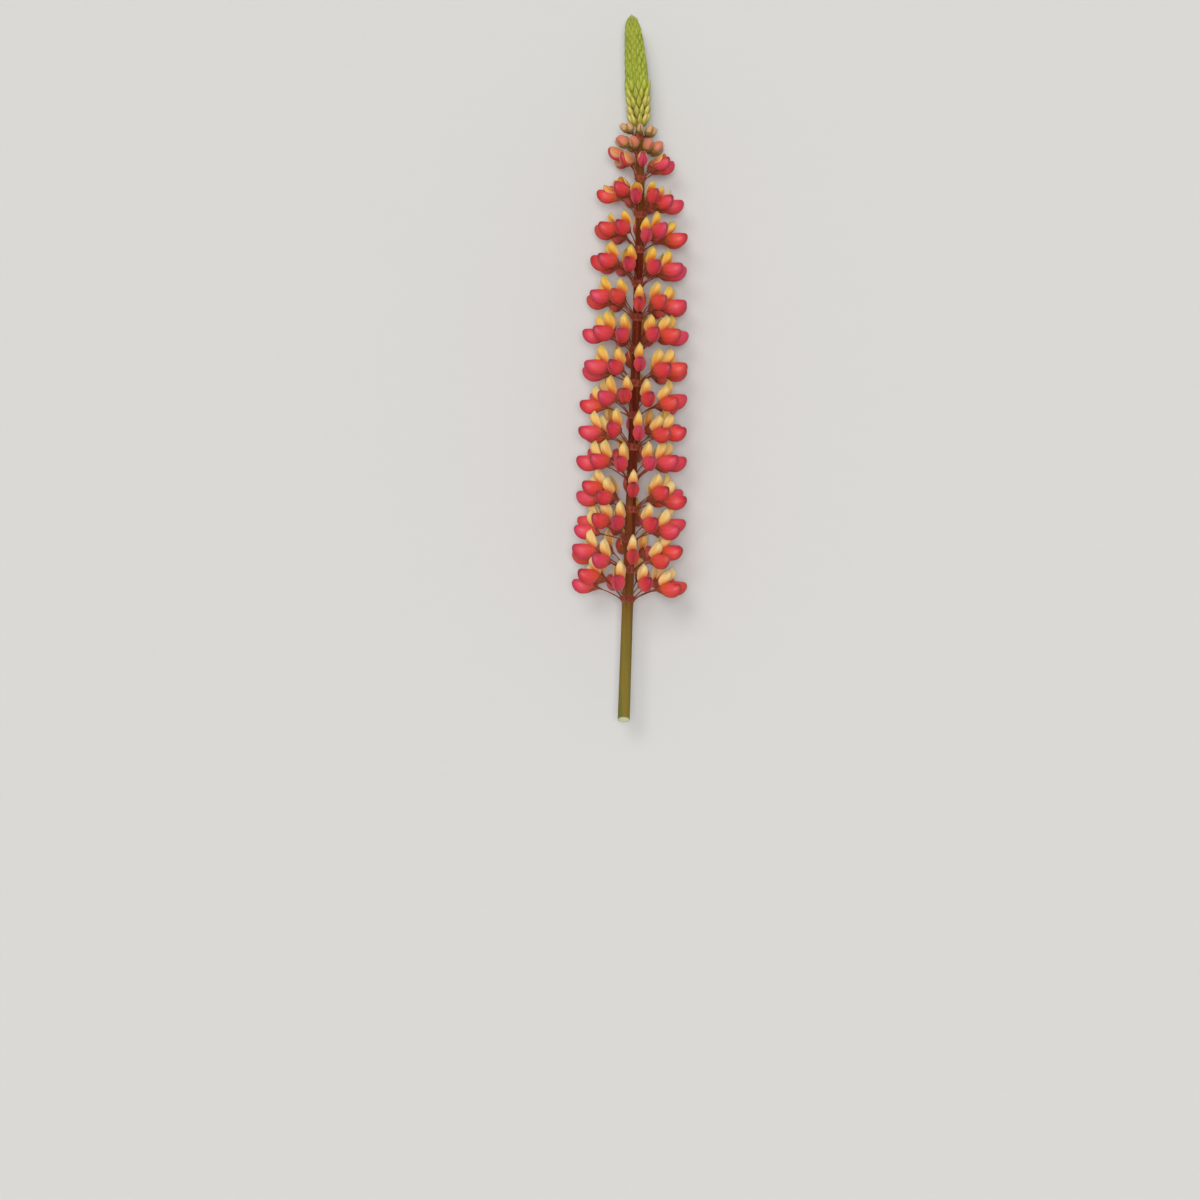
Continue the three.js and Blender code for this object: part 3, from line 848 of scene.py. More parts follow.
def pouch_rings():
    """The whole pouch. Its columns crowd at the two seams, by a wave with two turns round the pouch."""
    share = np.linspace(0, 1, WING_ROWS, endpoint=False)[:, None] + np.zeros(WING_COLUMNS)
    turn = once_round(WING_COLUMNS)
    return pouch(share, turn - SEAM_CROWDING * np.sin(2 * turn) + 0 * share)[None]


print("pouch is", extent(pouch_rings()), "mm")

# %% [markdown]
# The banner is a round petal, creased down its middle, with both sides swept back. In a bud it wraps the
# wings like a hood, and as the flower opens it first tips up about its claw, like a lid. All three shapes
# are worked out on the same grid, and each flower blends the two that are next to how open it is.

# %% Shape the banner
BANNER_KNOTS = [0.0, 0.3, 0.6, 0.85, 1.0]  # share of the way from the claw to the point
CREASE_OUT = [5.0, 9.4, 11.6, 11.0, 8.6]  # a
CREASE_UP = [3.2, 7.7, 11.9, 15.4, 17.5]  # b
BLADE_WIDTHS = [0.9, 7.2, 9.4, 6.4, 0.4]  # from the crease back to the edge
FOLDED_HALF_WIDTHS = [0.6, 2.3, 2.7, 1.9, 0.25]
BANNER_ROWS = 14
BANNER_COLUMNS = 15
BANNER_THICKNESS = 0.3
CREASE = dict(middle=0.0, width=0.6, height=0.6)
CREASE_ROUNDING = 1.3  # the width over which the blade turns from sideways to straight back
SWEPT_DOWN = 0.3
SPREADS = 0.03  # how far out to the side for each millimetre back
FLARE = 0.35  # how far the very edge turns out
TALLER = 1.3  # what a stretch of 1 adds to the height, in millimetres
NARROWER = 0.14  # what it takes from the width, as a share
RUFFLE = 0.35
RUFFLE_TURN = 9.0  # how far its wave turns from the claw to the point
RUFFLE_SHIFT = 1.5  # how far one side is ahead of it, and the other behind
HOOD = dict(start=0.05, end=0.985, reach=2.3, stands_off=0.35, widest=0.5)
LID = dict(start=0.1, end=0.78, reach=1.3, stands_off=0.6, widest=0.62)
WRAP_NARROWS = 0.8
LEAST_END = 0.01
LID_HINGE = (5.0, 3.0)
LID_TIPS_UP = 0.45


def wrapped(share, edge, start, end, reach, stands_off, widest):
    """A petal that lies on the wings' skin. reach is how far round it goes, as an angle, at its widest.

    It narrows with the square of the way from its widest place. Its end closes round, as the root of one
    less the sixth power of the way to it.
    """
    closing = np.sqrt(np.maximum(1 - share**6, LEAST_END))
    angle = reach * edge * (1 - WRAP_NARROWS * (share - widest) ** 2) * closing
    return pouch(start + (end - start) * share + 0 * edge, angle, stands_off)


def tipped_up(shape):
    """A shape turned about the claw in the side view."""
    a, b, c = np.moveaxis(shape, -1, 0)
    a, b = a - LID_HINGE[0], b - LID_HINGE[1]
    cosine, sine = np.cos(LID_TIPS_UP), np.sin(LID_TIPS_UP)
    return np.stack([LID_HINGE[0] + a * cosine - b * sine, LID_HINGE[1] + a * sine + b * cosine, c], axis=-1)


def banner_face(openness, phase, stretch):
    """The banner's face for each flower: a hood at openness 0, a lid at a half and a swept sail at 1.

    In the sail, the way from the crease goes out to the side first and then straight back. The crease is
    a hill taken from the front, and a wave that grows towards the edge ruffles it. stretch makes one sail
    a little taller and narrower than the next.
    """
    share = np.linspace(0, 1, BANNER_ROWS)[None, :, None]
    edge = np.linspace(-1, 1, BANNER_COLUMNS)[None, None, :]
    sizes = [CREASE_OUT, CREASE_UP, BLADE_WIDTHS, FOLDED_HALF_WIDTHS]
    crease_a, crease_b, blade, half_width = smooth_each(BANNER_KNOTS, sizes, share)
    back = np.abs(edge) * blade * (1 - NARROWER * stretch)
    sideways = half_width * (1 - np.exp(-back / CREASE_ROUNDING))
    a = crease_a - bump(back, **CREASE) - back + sideways / 2
    b = crease_b + TALLER * stretch * share**2 - SWEPT_DOWN * back
    ruffle = RUFFLE * np.sin(phase + RUFFLE_TURN * share + RUFFLE_SHIFT * np.sign(edge)) * np.abs(edge) ** 3
    c = np.sign(edge) * (sideways + SPREADS * back + FLARE * np.abs(edge) ** 6) + ruffle
    sail = np.stack(np.broadcast_arrays(a, b, c), axis=-1)
    hood = wrapped(share, edge, **HOOD)
    lid = tipped_up(wrapped(share, edge, **LID))
    opened = openness[..., None]
    hood_part, sail_part = np.maximum(0, 1 - 2 * opened), np.maximum(0, 2 * opened - 1)
    return hood * hood_part + lid * (1 - hood_part - sail_part) + sail * sail_part


print("open banner is", extent(banner_face(np.ones((1, 1, 1)), 0.0, 0.0)), "mm")

# %% [markdown]
# The calyx has two lips. The upper one is short with two teeth, and the lower one is longer and pointed. It
# is a cup whose rim is cut by a formula of the angle. Rings go up its outside and back down its inside.

# %% Shape the calyx
CALYX_KNOTS = [-0.6, 0.8, 2.4, 4.5, 9.0]  # a
CALYX_MIDDLES = [0.0, 0.4, 0.9, 1.4, 0.9]
CALYX_HALF_HEIGHTS = [0.7, 1.7, 2.9, 3.95, 5.95]
CALYX_HALF_WIDTHS = [0.7, 1.5, 2.4, 3.2, 4.75]
CALYX_RINGS = np.array([0.0, 0.2, 0.4, 0.6, 0.8, 1.0, 0.97, 0.6])[:, None]  # share of the way to the rim
CALYX_WALLS = np.array([0.0] * 6 + [0.35] * 2)[:, None]  # how far in from the outside
CALYX_COLUMNS = 16
CALYX_SIDES = 4.0  # how far out the rim is at the sides
UPPER_LIP = 1.9  # how much further at the back, and at the belly
LOWER_LIP = 4.2
NOTCH = dict(middle=0.0, width=0.25, height=0.4)  # a turn, and a share of the upper lip


def calyx_rings():
    """The cup's rings: an ellipse that widens along a, out to a rim that each angle has its own reach of."""
    turn = once_round(CALYX_COLUMNS)[None]
    upper = UPPER_LIP * np.maximum(0, np.cos(turn)) ** 2 * (1 - bump(turned_from(turn, 0), **NOTCH))
    lower = LOWER_LIP * np.maximum(0, -np.cos(turn)) ** 3
    a = CALYX_KNOTS[0] + (CALYX_SIDES + upper + lower - CALYX_KNOTS[0]) * CALYX_RINGS
    sizes = [CALYX_MIDDLES, CALYX_HALF_HEIGHTS, CALYX_HALF_WIDTHS]
    middle, half_height, half_width = smooth_each(CALYX_KNOTS, sizes, a)
    b = middle + (half_height - CALYX_WALLS) * np.cos(turn)
    return np.stack([a, b, (half_width - CALYX_WALLS) * np.sin(turn)], axis=-1)[None]


print("calyx is", extent(calyx_rings()), "mm")

# %% [markdown]
# ## A whorl
#
# Ten flowers stand round the stem, each on its pedicel, and no two are quite alike. A repeatable draw gives
# each its own turn, reach, size and rise. The old flowers of one side stand higher and lower by turns, and
# towards the tip the whorls slant. Flowers under the stem would go through the table, so each leans
# forward until it only presses on it, which is what the real ones do when a spike is laid down.

# %% Draw what differs from flower to flower
def draw(whorl, flower, use):
    """A number from -1 to 1 that is always the same for the same whorl, flower and use.

    It is the part after the point of a sine times a large number, doubled, less one.
    """
    wave = np.sin(whorl * 12.9898 + flower * 78.233 + use * 37.719) * 43758.5453
    return 2 * (wave - np.floor(wave)) - 1


print("the first four draws:", draw(0, np.arange(4), 1).round(2))

# %% Describe a whorl
BODY_LENGTH = 20.5  # the a that a flower's reach is measured to
FLOWERS_PER_WHORL = 10
FLOWERS_IN_TOP_WHORL = 8
WHORL_TWIST = 0.07
RING_GAP = 0.5
RING_WALL = 0.9
LOWEST_REACH = 42.8
NARROWS = 5.5  # how far the reach falls evenly up to the top whorl
TOP_NARROWS = 9.0  # how much more it falls near the top
VARIES = dict(angle=0.08, reach=1.4, size=0.05, swing=0.12, lean=0.08, openness=0.06)
SCATTER = (3.4, 1.6)  # how far up and down flowers stand in the lowest and the top whorl
STAGGER = 4.5  # how far up and down by turns the old flowers of the -X side stand
SLANT = 4.5  # how far forward the -X side of the top whorl stands
SLANT_STARTS = 0.4
SLANT_AGES = 0.01  # how much younger a flower is for each millimetre forward
LOWEST_LEAN = 0.02
TOP_LEANS = 0.25  # how much more the top whorl leans
TOP_CLOSES = 0.9  # how far its banners are still closed
LEAST_OPEN = 0.02


def start_angle(index, count):
    """Where a whorl's first flower stands: every other whorl is turned by half a step."""
    return WHORL_TWIST + (0 if index % 2 else np.pi / count)


def root_distance(attach, count):
    """How far from the stem's middle a pedicel starts: the side of the ring that the CAD has there."""
    return (stem_radius(attach) + RING_GAP + RING_WALL) * np.cos(np.pi / count)


def describe_whorl(index):
    """All numbers of a whorl. What each flower has of its own has the shape (flowers, 1, 1).

    young goes from 0 at the lowest whorl to 1 at the top one. Its high powers only count near the top.
    """
    young = index / (WHORLS - 1)
    attach, size = whorl_place(index)
    count = FLOWERS_IN_TOP_WHORL if index == WHORLS - 1 else FLOWERS_PER_WHORL
    flower = np.arange(count)[:, None, None]
    turned, longer, larger, higher, swung, tinted, rippled, opened, leant = (
        draw(index, flower, use) for use in range(1, 10)
    )
    angle = start_angle(index, count) + 2 * np.pi * flower / count + VARIES["angle"] * turned
    slanted = SLANT * max(0, (young - SLANT_STARTS) / (1 - SLANT_STARTS)) * -np.sin(angle)
    staggered = STAGGER * (1 - young) * np.maximum(0, -np.sin(angle)) * (-1.0) ** flower
    scattered = (SCATTER[0] + (SCATTER[1] - SCATTER[0]) * young) * higher
    stage = young + SLANT_AGES * slanted
    openness = 1 - TOP_CLOSES * stage**10 + VARIES["openness"] * stage**6 * opened
    return dict(
        stage=stage.ravel(),
        attach=attach,
        root=root_distance(attach, count),
        angle=angle,
        reach=LOWEST_REACH - NARROWS * young - TOP_NARROWS * young**8 + VARIES["reach"] * longer,
        size=size * (1 + VARIES["size"] * larger),
        rise=(ATTACH_BELOW - 1) * size + slanted + scattered + staggered,
        lean=LOWEST_LEAN + TOP_LEANS * young**8 + VARIES["lean"] * leant,
        swing=VARIES["swing"] * swung,
        openness=np.clip(openness, LEAST_OPEN, 1.0),
        tint=tinted,
        phase=np.pi * rippled,
    )


print("reach of the first whorl's flowers:", describe_whorl(0)["reach"].ravel().round(1))

# %% Set shapes round the stem
def in_side_view(whorl, shape):
    """A flower's own directions a, b and c as out, forward and aside of the stem."""
    a, b, c = np.moveaxis(shape, -1, 0)
    size = whorl["size"]
    out = whorl["reach"] + (a - BODY_LENGTH) * size
    return np.stack(np.broadcast_arrays(out, whorl["rise"] + b * size, c * size), axis=-1)


def set_round(whorl, view, lean):
    """Tips a side view by lean, swings it sideways, both about the pedicel's root, and turns it round."""
    middle, along, up, side = stem_frame(whorl["attach"])
    out, forward, aside = np.moveaxis(view, -1, 0)
    angle, root = whorl["angle"], whorl["root"]
    past_root = out - root
    tipped_out = past_root * np.cos(lean) - forward * np.sin(lean)
    tipped_forward = past_root * np.sin(lean) + forward * np.cos(lean)
    aside = aside + tipped_out * np.tan(whorl["swing"])
    distance = root + tipped_out
    up_share = distance * np.cos(angle) + aside * np.sin(angle)
    side_share = distance * np.sin(angle) - aside * np.cos(angle)
    ways = ((up_share, up), (side_share, side), (tipped_forward, along))
    return middle + sum(share[..., None] * way for share, way in ways)


first = describe_whorl(0)
wings = set_round(first, in_side_view(first, pouch_rings()), first["lean"])
print("the first whorl is", extent(wings), "mm")

# %% Rest the flowers on the table
PRESSED = 0.3
MOST_LEAN = 0.9
HALVINGS = 14
SOFT_LANDING = 0.6


def resting_lean(whorl, views):
    """The smallest lean that keeps each flower out of the table, found by halving the range."""

    def sinks(lean):
        """Whether a flower's lowest point would be more than pressed into the table."""
        lowest = [set_round(whorl, view, lean)[..., 2].min(axis=(1, 2)) for view in views]
        return (np.min(lowest, axis=0) < -PRESSED)[:, None, None]

    low, high = whorl["lean"], np.full_like(whorl["lean"], MOST_LEAN)
    upright = ~sinks(low)
    for _ in range(HALVINGS):
        middle = (low + high) / 2
        too_low = sinks(middle)
        low, high = np.where(too_low, middle, low), np.where(too_low, high, middle)
    return np.where(upright, whorl["lean"], high)


def land(points):
    """Presses what is near the table flat: below the soft landing a height becomes an exponential of it."""
    height = points[..., 2]
    pressed = SOFT_LANDING * np.exp(np.minimum(height / SOFT_LANDING - 1, 0))
    points[..., 2] = np.where(height < SOFT_LANDING, pressed, height)
    return points


def add_parts(piece, whorl, lean, *parts):
    """Sets parts round the stem and adds them. A part is a side view, a finish and how far across it is."""
    for view, finish, *across in parts:
        rings = land(set_round(whorl, view, lean))
        piece.tubes(rings, finish, *across, tint=whorl["tint"].ravel(), stage=whorl["stage"])


print("a height of 0 becomes", land(np.zeros((1, 3)))[0, 2].round(2), "mm")

# %% Shape the pedicels
PEDICEL_ROWS = 8
PEDICEL_COLUMNS = 8
PEDICEL_KNOTS = [0.0, 0.12, 0.5, 0.9, 1.0]
PEDICEL_RADII = [1.2, 0.7, 0.5, 0.55, 0.9]
PEDICEL_START = (-1.0, -0.4)  # out and forward from the root
PEDICEL_ARCH = np.array([0.42, 0.64])  # shares of the way out and forward at the control point


def pedicel_view(whorl, end_out, end_forward, thickness=1.0):
    """Pedicels as tubes in the side view, along an arch from the root to the calyx.

    The arch is a curve with one control point: it leaves the stem steeply and ends nearly level. Each ring
    stands square to the arch.
    """
    share = np.linspace(0, 1, PEDICEL_ROWS)[None, :, None, None]
    turn = once_round(PEDICEL_COLUMNS)
    end = np.stack([end_out, end_forward], axis=-1)
    start = np.array([whorl["root"] + PEDICEL_START[0], PEDICEL_START[1]]) + 0 * end
    control = start + (end - start) * PEDICEL_ARCH
    path = start * (1 - share) ** 2 + 2 * control * share * (1 - share) + end * share**2
    way = unit((control - start) * (1 - share) + (end - control) * share)
    radius = smooth(PEDICEL_KNOTS, PEDICEL_RADII, share[..., 0])[..., 0] * thickness
    rise = radius * np.cos(turn)
    out = path[..., 0] - rise * way[..., 1]
    forward = path[..., 1] + rise * way[..., 0]
    return np.stack(np.broadcast_arrays(out, forward, radius * np.sin(turn)), axis=-1)


print("pedicel is", 2 * PEDICEL_RADII[2], "mm thick in its middle")

# %% Shape the ring that the pedicels grow from
RING_ROWS = 12
RING_COLUMNS = 60
RING_FROM = -3.6
RING_TO = 3.8
RING_HILL = dict(middle=0.2, width=2.0, height=0.6)
RING_SINKS = 0.35
ROOT_WIDTH = 0.26
SHELF = dict(middle=-1.6, width=1.0, height=0.25)
SHELF_WIDTH = 0.22


def add_ring(piece, whorl, finish):
    """The swelling round the stem: a hill along the stem, higher where a pedicel leaves it."""
    forward = np.linspace(RING_FROM, RING_TO, RING_ROWS)[:, None]
    angle = once_round(RING_COLUMNS)
    nearest = np.min(turned_from(angle[:, None], whorl["angle"].ravel()), axis=-1)
    hill = bump(forward, **RING_HILL) * (1 + bump(nearest, 0, ROOT_WIDTH)) - RING_SINKS
    shelf = bump(forward, **SHELF) * bump(nearest, 0, SHELF_WIDTH)
    radius = stem_radius(whorl["attach"]) + NODE_SWELLING + hill + shelf
    piece.tubes(round_stem(whorl["attach"], angle, radius, forward)[None], finish)


print("the ring is", RING_TO - RING_FROM, "mm long")

# %% Build the whorls of flowers
FLOWER_FINISHES = [WING_FINISH, BANNER_FINISH, CALYX_FINISH, PEDICEL_FINISH]
PEDICEL_ENDS = -0.3  # a


def build_whorl(index):
    """Sets each part of the flower round the stem for all flowers of a whorl at once."""
    whorl = describe_whorl(index)
    banner = sheet_rings(banner_face(whorl["openness"], whorl["phase"], whorl["tint"]), BANNER_THICKNESS)
    calyx_foot = whorl["reach"] + (PEDICEL_ENDS - BODY_LENGTH) * whorl["size"]
    parts = [
        (in_side_view(whorl, pouch_rings()), 0),
        (in_side_view(whorl, banner), 1, sheet_across(BANNER_COLUMNS)),
        (in_side_view(whorl, calyx_rings()), 2),
        (pedicel_view(whorl, calyx_foot, whorl["rise"]), 3),
    ]
    piece = Piece()
    add_parts(piece, whorl, resting_lean(whorl, [view for view, *_ in parts]), *parts)
    add_ring(piece, whorl, 3)
    return piece.build(f"flowers_{index + 1:02d}", f"whorl_{index + 1:02d}", FLOWER_FINISHES)


for number in range(WHORLS):
    build_whorl(number)

# %% [markdown]
# ## Coloured buds
#
# Above the open flowers stand two rings of closed buds. Their petals show colour already, a dull salmon,
# and the calyx still covers half of each. A bud is an egg shape that curves up to a blunt point.

# %% Finish the buds
def bud_finish(name, foot, middle, tip, ripe, down):
    """A bud's colour from its foot to its tip, with soft patches, fine veins and down.

    The riper a bud is, the further the colour of its foot spreads, and the riper its tip is.
    """
    bud = Finish(
        name,
        Roughness=0.6,
        Subsurface_Weight=0.1,
        Subsurface_Scale=GLOW_DEPTH,
        Sheen_Weight=0.25,
        Sheen_Roughness=0.4,
        Sheen_Tint=colour(*down),
    )
    bud.coat = bud.ramp(bud.along, (0.4, *middle), (0.95, *tip))
    cloud = bud.math("MULTIPLY_ADD", bud.own("tint"), 0.35, bud.speckle(260))
    bud.paint(bud.between(cloud, 0.3, 0.9, 0.0, 0.5), middle)
    stage = bud.own("stage")
    bud.paint(bud.math("MULTIPLY", stage, bud.between(bud.along, 0.6, 0.1, 0.0, 0.9)), foot)
    bud.paint(bud.math("MULTIPLY", stage, bud.between(bud.along, 0.15, 0.7, 0.0, 0.8)), ripe)
    lines = bud.veins(8, 300)
    bud.paint(bud.math("MULTIPLY", lines, 0.25), foot)
    return bud.done(lines, 0.2, 0.7, grain=1500, coarseness=0.8)


BUD_FINISHES = [
    bud_finish(
        "salmon_bud",
        foot=(168, 118, 56),
        middle=(224, 140, 104),
        tip=(208, 104, 86),
        ripe=(218, 122, 95),
        down=(240, 210, 190),
    ),
    bud_finish(
        "pale_bud",
        foot=(166, 150, 62),
        middle=(218, 176, 116),
        tip=(216, 150, 116),
        ripe=(218, 162, 116),
        down=(240, 225, 190),
    ),
]
YOUNG_CALYX_FINISH = downy_finish("young_calyx", (132, 98, 44), (182, 148, 76), (240, 225, 180))

# %% Shape the buds
BUD_KNOTS = [0.0, 0.12, 0.4, 0.76, 0.93, 1.0]
BUD_SHARES = [0.3, 0.66, 1.0, 0.82, 0.42, 0.0]
POINTED_SHARES = [0.35, 0.78, 1.0, 0.62, 0.24, 0.0]
BUD_CROWDING = 1.4
BUD_BEND = 0.06
BUD_FLATNESS = 0.9
BUD_SEAM = dict(middle=0.0, width=0.28, height=0.1)


def egg(share, turn, shares=BUD_SHARES):
    """An egg at a share of its length and a turn from its back: how far above and beside its line.

    Its half width is 1 where it is widest. A hill taken from its belly is the seam of the wrapped petal.
    """
    width = round_ended(BUD_KNOTS, shares, share)
    fullness = width * (1 - bump(turned_from(turn, np.pi), **BUD_SEAM))
    return fullness * np.cos(turn), fullness * np.sin(turn) * BUD_FLATNESS


def on_bud(whorl, along, above, beside):
    """Sets points of a bud in the side view, in millimetres above and beside its line.

    The line runs through the bud's middle at a slope, and it bends up with the square of the way along.
    """
    length, slope = whorl["length"], whorl["slope"]
    upward = above + BUD_BEND * length * along**2
    out = whorl["reach"] + (along - 1) * length * np.cos(slope) - upward * np.sin(slope)
    forward = whorl["rise"] + (along - 0.5) * length * np.sin(slope) + upward * np.cos(slope)
    return np.stack(np.broadcast_arrays(out, forward, beside), axis=-1)


def bud_grid(rows, columns):
    """Shares along a bud, closer together towards its point, and turns round it."""
    share = 1 - (1 - np.linspace(0, 1, rows, endpoint=False)) ** BUD_CROWDING
    return share[:, None], once_round(columns)


def bud_view(whorl, rows=13, columns=14, shares=BUD_SHARES):
    """Buds in the side view."""
    share, turn = bud_grid(rows, columns)
    above, beside = egg(share, turn, shares)
    return on_bud(whorl, share, above * whorl["half_width"], beside * whorl["half_width"])


def bud_pedicel_view(whorl, thickness):
    """Pedicels that end at the feet of buds."""
    out, forward, _ = np.moveaxis(on_bud(whorl, 0.0, 0.0, 0.0), -1, 0)
    return pedicel_view(whorl, out, forward, thickness)


print("a bud has", len(BUD_KNOTS), "known sizes")

# %% Shape the calyx and the bract of a bud
CUP_RINGS = np.array([0.0, 0.2, 0.45, 0.7, 0.9, 1.0, 0.96, 0.6])[:, None]  # share of the way to the rim
CUP_WIDTHS = np.array([1.12] * 6 + [1.02] * 2)[:, None]  # share of the bud's half width
CUP_RIM = 0.5  # share of the bud's length
CUP_DIPS = 0.3
BRACT_KNOTS = [-0.12, 0.1, 0.4, 0.75, 1.0]  # share of the bud's length
BRACT_BELOW = [0.2, 0.85, 1.12, 1.02, 0.62]  # share of the bud's half width
BRACT_WIDTHS = [0.6, 0.95, 1.0, 0.7, 0.08]
BRACT_ROWS = 10
BRACT_COLUMNS = 5
BRACT_CUPPED = 0.25
BRACT_THICKNESS = 0.22


def bud_cup_view(whorl, columns=14):
    """The calyx on a bud: the egg's foot, a little wider, with a rim that dips at the sides."""
    turn = once_round(columns)
    share = CUP_RINGS * CUP_RIM * (1 - CUP_DIPS * np.sin(turn) ** 2)
    above, beside = egg(share, turn)
    width = CUP_WIDTHS * whorl["half_width"]
    return on_bud(whorl, share, above * width, beside * width)


def bract_view(whorl, width):
    """Bracts in the side view: narrow leaves that pass close under the bud's belly and end at its point."""
    share = np.linspace(BRACT_KNOTS[0], BRACT_KNOTS[-1], BRACT_ROWS)[:, None]
    edge = np.linspace(-1, 1, BRACT_COLUMNS)
    below, wide = smooth_each(BRACT_KNOTS, [BRACT_BELOW, BRACT_WIDTHS], share)
    above = BRACT_CUPPED * edge**2 - below * whorl["half_width"]
    return sheet_rings(on_bud(whorl, share, above, edge * width * wide), BRACT_THICKNESS)


print("a bract is", BRACT_THICKNESS, "mm thick")

# %% Describe a ring of buds
BUDS_PER_WHORL = 8
BUD_VARIES = dict(reach=0.8, rise=0.6)


def describe_bud_whorl(index):
    """All numbers of a ring of buds, as for a whorl of flowers."""
    bud = BUD_WHORLS[index]
    number = np.arange(BUDS_PER_WHORL)[:, None, None]
    longer, higher, tinted = (draw(WHORLS + index, number, use) for use in (2, 4, 6))
    angle = start_angle(index, BUDS_PER_WHORL) + 2 * np.pi * number / BUDS_PER_WHORL
    whorl = dict(bud, angle=angle, root=root_distance(bud["attach"], BUDS_PER_WHORL))
    whorl["reach"] = bud["reach"] + BUD_VARIES["reach"] * longer
    whorl["rise"] = bud["y"] - bud["attach"] - bud["skew"] * np.sin(angle) + BUD_VARIES["rise"] * higher
    return dict(whorl, swing=0.0, tint=tinted, stage=1.0)


print("a bud of the first ring is", extent(bud_view(describe_bud_whorl(0))[:1]), "mm")

# %% Build the whorls of buds
def build_bud_whorl(index):
    """Sets each part of the bud round the stem for all buds of a ring at once."""
    whorl = describe_bud_whorl(index)
    parts = [
        (bud_view(whorl), 0),
        (bud_cup_view(whorl), 1),
        (bud_pedicel_view(whorl, thickness=0.85), 2),
        (bract_view(whorl, width=0.8), 1),
    ]
    piece = Piece()
    add_parts(piece, whorl, 0.0, *parts)
    add_ring(piece, whorl, 2)
    finishes = [BUD_FINISHES[index], YOUNG_CALYX_FINISH, PEDICEL_FINISH]
    return piece.build(f"buds_{index + 1}", f"bud_whorl_{index + 1}", finishes)


for number in range(len(BUD_WHORLS)):
    build_bud_whorl(number)

# %% [markdown]
# ## The green tip
#
# The tip is the youngest part. At its foot the green buds stand apart on short stalks. Above they close up
# into a scaly cone, each in the gap between two below. All of them are one egg shape, repeated round a
# core, so each has only a few dozen faces.

# %% Finish the tip
GREEN_FINISH = bud_finish(
    "green_bud",
    foot=(190, 138, 68),
    middle=(176, 194, 34),
    tip=(214, 220, 92),
    ripe=(248, 206, 136),
    down=(230, 235, 150),
)
CORE_FINISH = downy_finish("tip_core", (134, 138, 26), (162, 170, 38), (220, 225, 150))
BRACT_FINISH = downy_finish("bract", (152, 164, 34), (198, 202, 86), (245, 245, 200))

# %% Describe the rows of young buds
TIP_SIDES = 9
YOUNG_ROWS = [  # attach, radius of the core, reach, length, slope
    (182.0, 2.8, 9.0, 9.4, 0.98),
    (188.6, 3.1, 9.2, 9.4, 1.04),
    (195.2, 3.7, 9.3, 9.2, 1.1),
    (201.6, 4.5, 9.3, 8.8, 1.16),
    (207.8, 5.2, 9.2, 8.2, 1.22),
]
YOUNG_DRAWS = 20  # the first row draws as whorl 20
YOUNG_HALF_WIDTH = 1.9
YOUNG_RISE = 0.55
YOUNG_VARIES = dict(reach=0.45, rise=0.5)


def young_bud_row(row):
    """All numbers of a row of the buds that stand apart, as for a whorl of flowers."""
    attach, radius, reach, length, slope = YOUNG_ROWS[row]
    number = np.arange(TIP_SIDES)[:, None, None]
    half_side = np.pi / TIP_SIDES
    longer, higher, turned, tinted = (draw(YOUNG_DRAWS + row, number, use) for use in (2, 4, 1, 6))
    angle = WHORL_TWIST + half_side * (2 * number + row % 2) + VARIES["angle"] * turned
    whorl = dict(attach=attach, length=length, slope=slope, half_width=YOUNG_HALF_WIDTH, angle=angle)
    whorl["root"] = radius * np.cos(half_side)
    whorl["reach"] = reach + YOUNG_VARIES["reach"] * longer
    whorl["rise"] = YOUNG_RISE * length + YOUNG_VARIES["rise"] * higher
    return dict(whorl, swing=0.0, tint=tinted, stage=1 - row / len(YOUNG_ROWS))


print("young buds that stand apart:", len(YOUNG_ROWS) * TIP_SIDES)

# %% Shape the core of the tip
TIP_START_Y = 178.7
CORE_KNOTS = [TIP_START_Y, 183.5, 190.5, 197.5, 203.8, 209.3, 217.8, 234.0, 253.6, 262.0, 264.6]
CORE_RADII = [2.5, 2.7, 3.0, 3.8, 5.0, 6.4, 7.4, 7.0, 5.4, 3.0, 0.0]
CORE_ROWS = 39
CORE_COLUMNS = 24


def tip_core():
    """The stalk inside the tip: a tube that widens under the cone and closes at its point."""
    y = np.linspace(CORE_KNOTS[0], CORE_KNOTS[-1], CORE_ROWS + 1)[:-1, None]
    return round_stem(y, once_round(CORE_COLUMNS), round_ended(CORE_KNOTS, CORE_RADII, y))[None]


print("the core is", extent(tip_core()), "mm")

# %% Shape the cone of buds
CONE_DRAWS = 30  # the cone draws as whorl 30
CONE_VARIES = dict(foot=0.7, angle=0.1, length=0.06)
CONE_ROWS = 15
CONE_FIRST_Y = 209.0  # where the feet of the cone's first and last rows of buds are
CONE_LAST_Y = 259.6
CONE_KNOTS = [205.0, 217.8, 223.2, 234.0, 244.2, 253.6, 258.0, 262.0, 266.0]
CONE_RADII = [8.4, 8.7, 8.6, 8.0, 7.2, 6.2, 5.4, 4.0, 0.8]
SCALE_GRID = (8, 8)
SCALE_LENGTH = 8.6
SCALE_HALF_WIDTH = 2.15
SCALE_DEPTH = 1.8
SCALES_SHORTEN = 0.36  # how much shorter and slimmer the last row's buds are
SCALES_SLIM = 0.35
SCALES_TURN_OUT = (1.4, -0.1)  # how far from foot to end, in the first and the last row
SCALE_HINGE = 0.6
LEAST_RADIUS = 1.6


def cone_radius(y):
    """The radius of the cone with its buds: a smooth curve through its known sizes."""
    return round_ended(CONE_KNOTS, CONE_RADII, np.minimum(y, CONE_KNOTS[-1]))


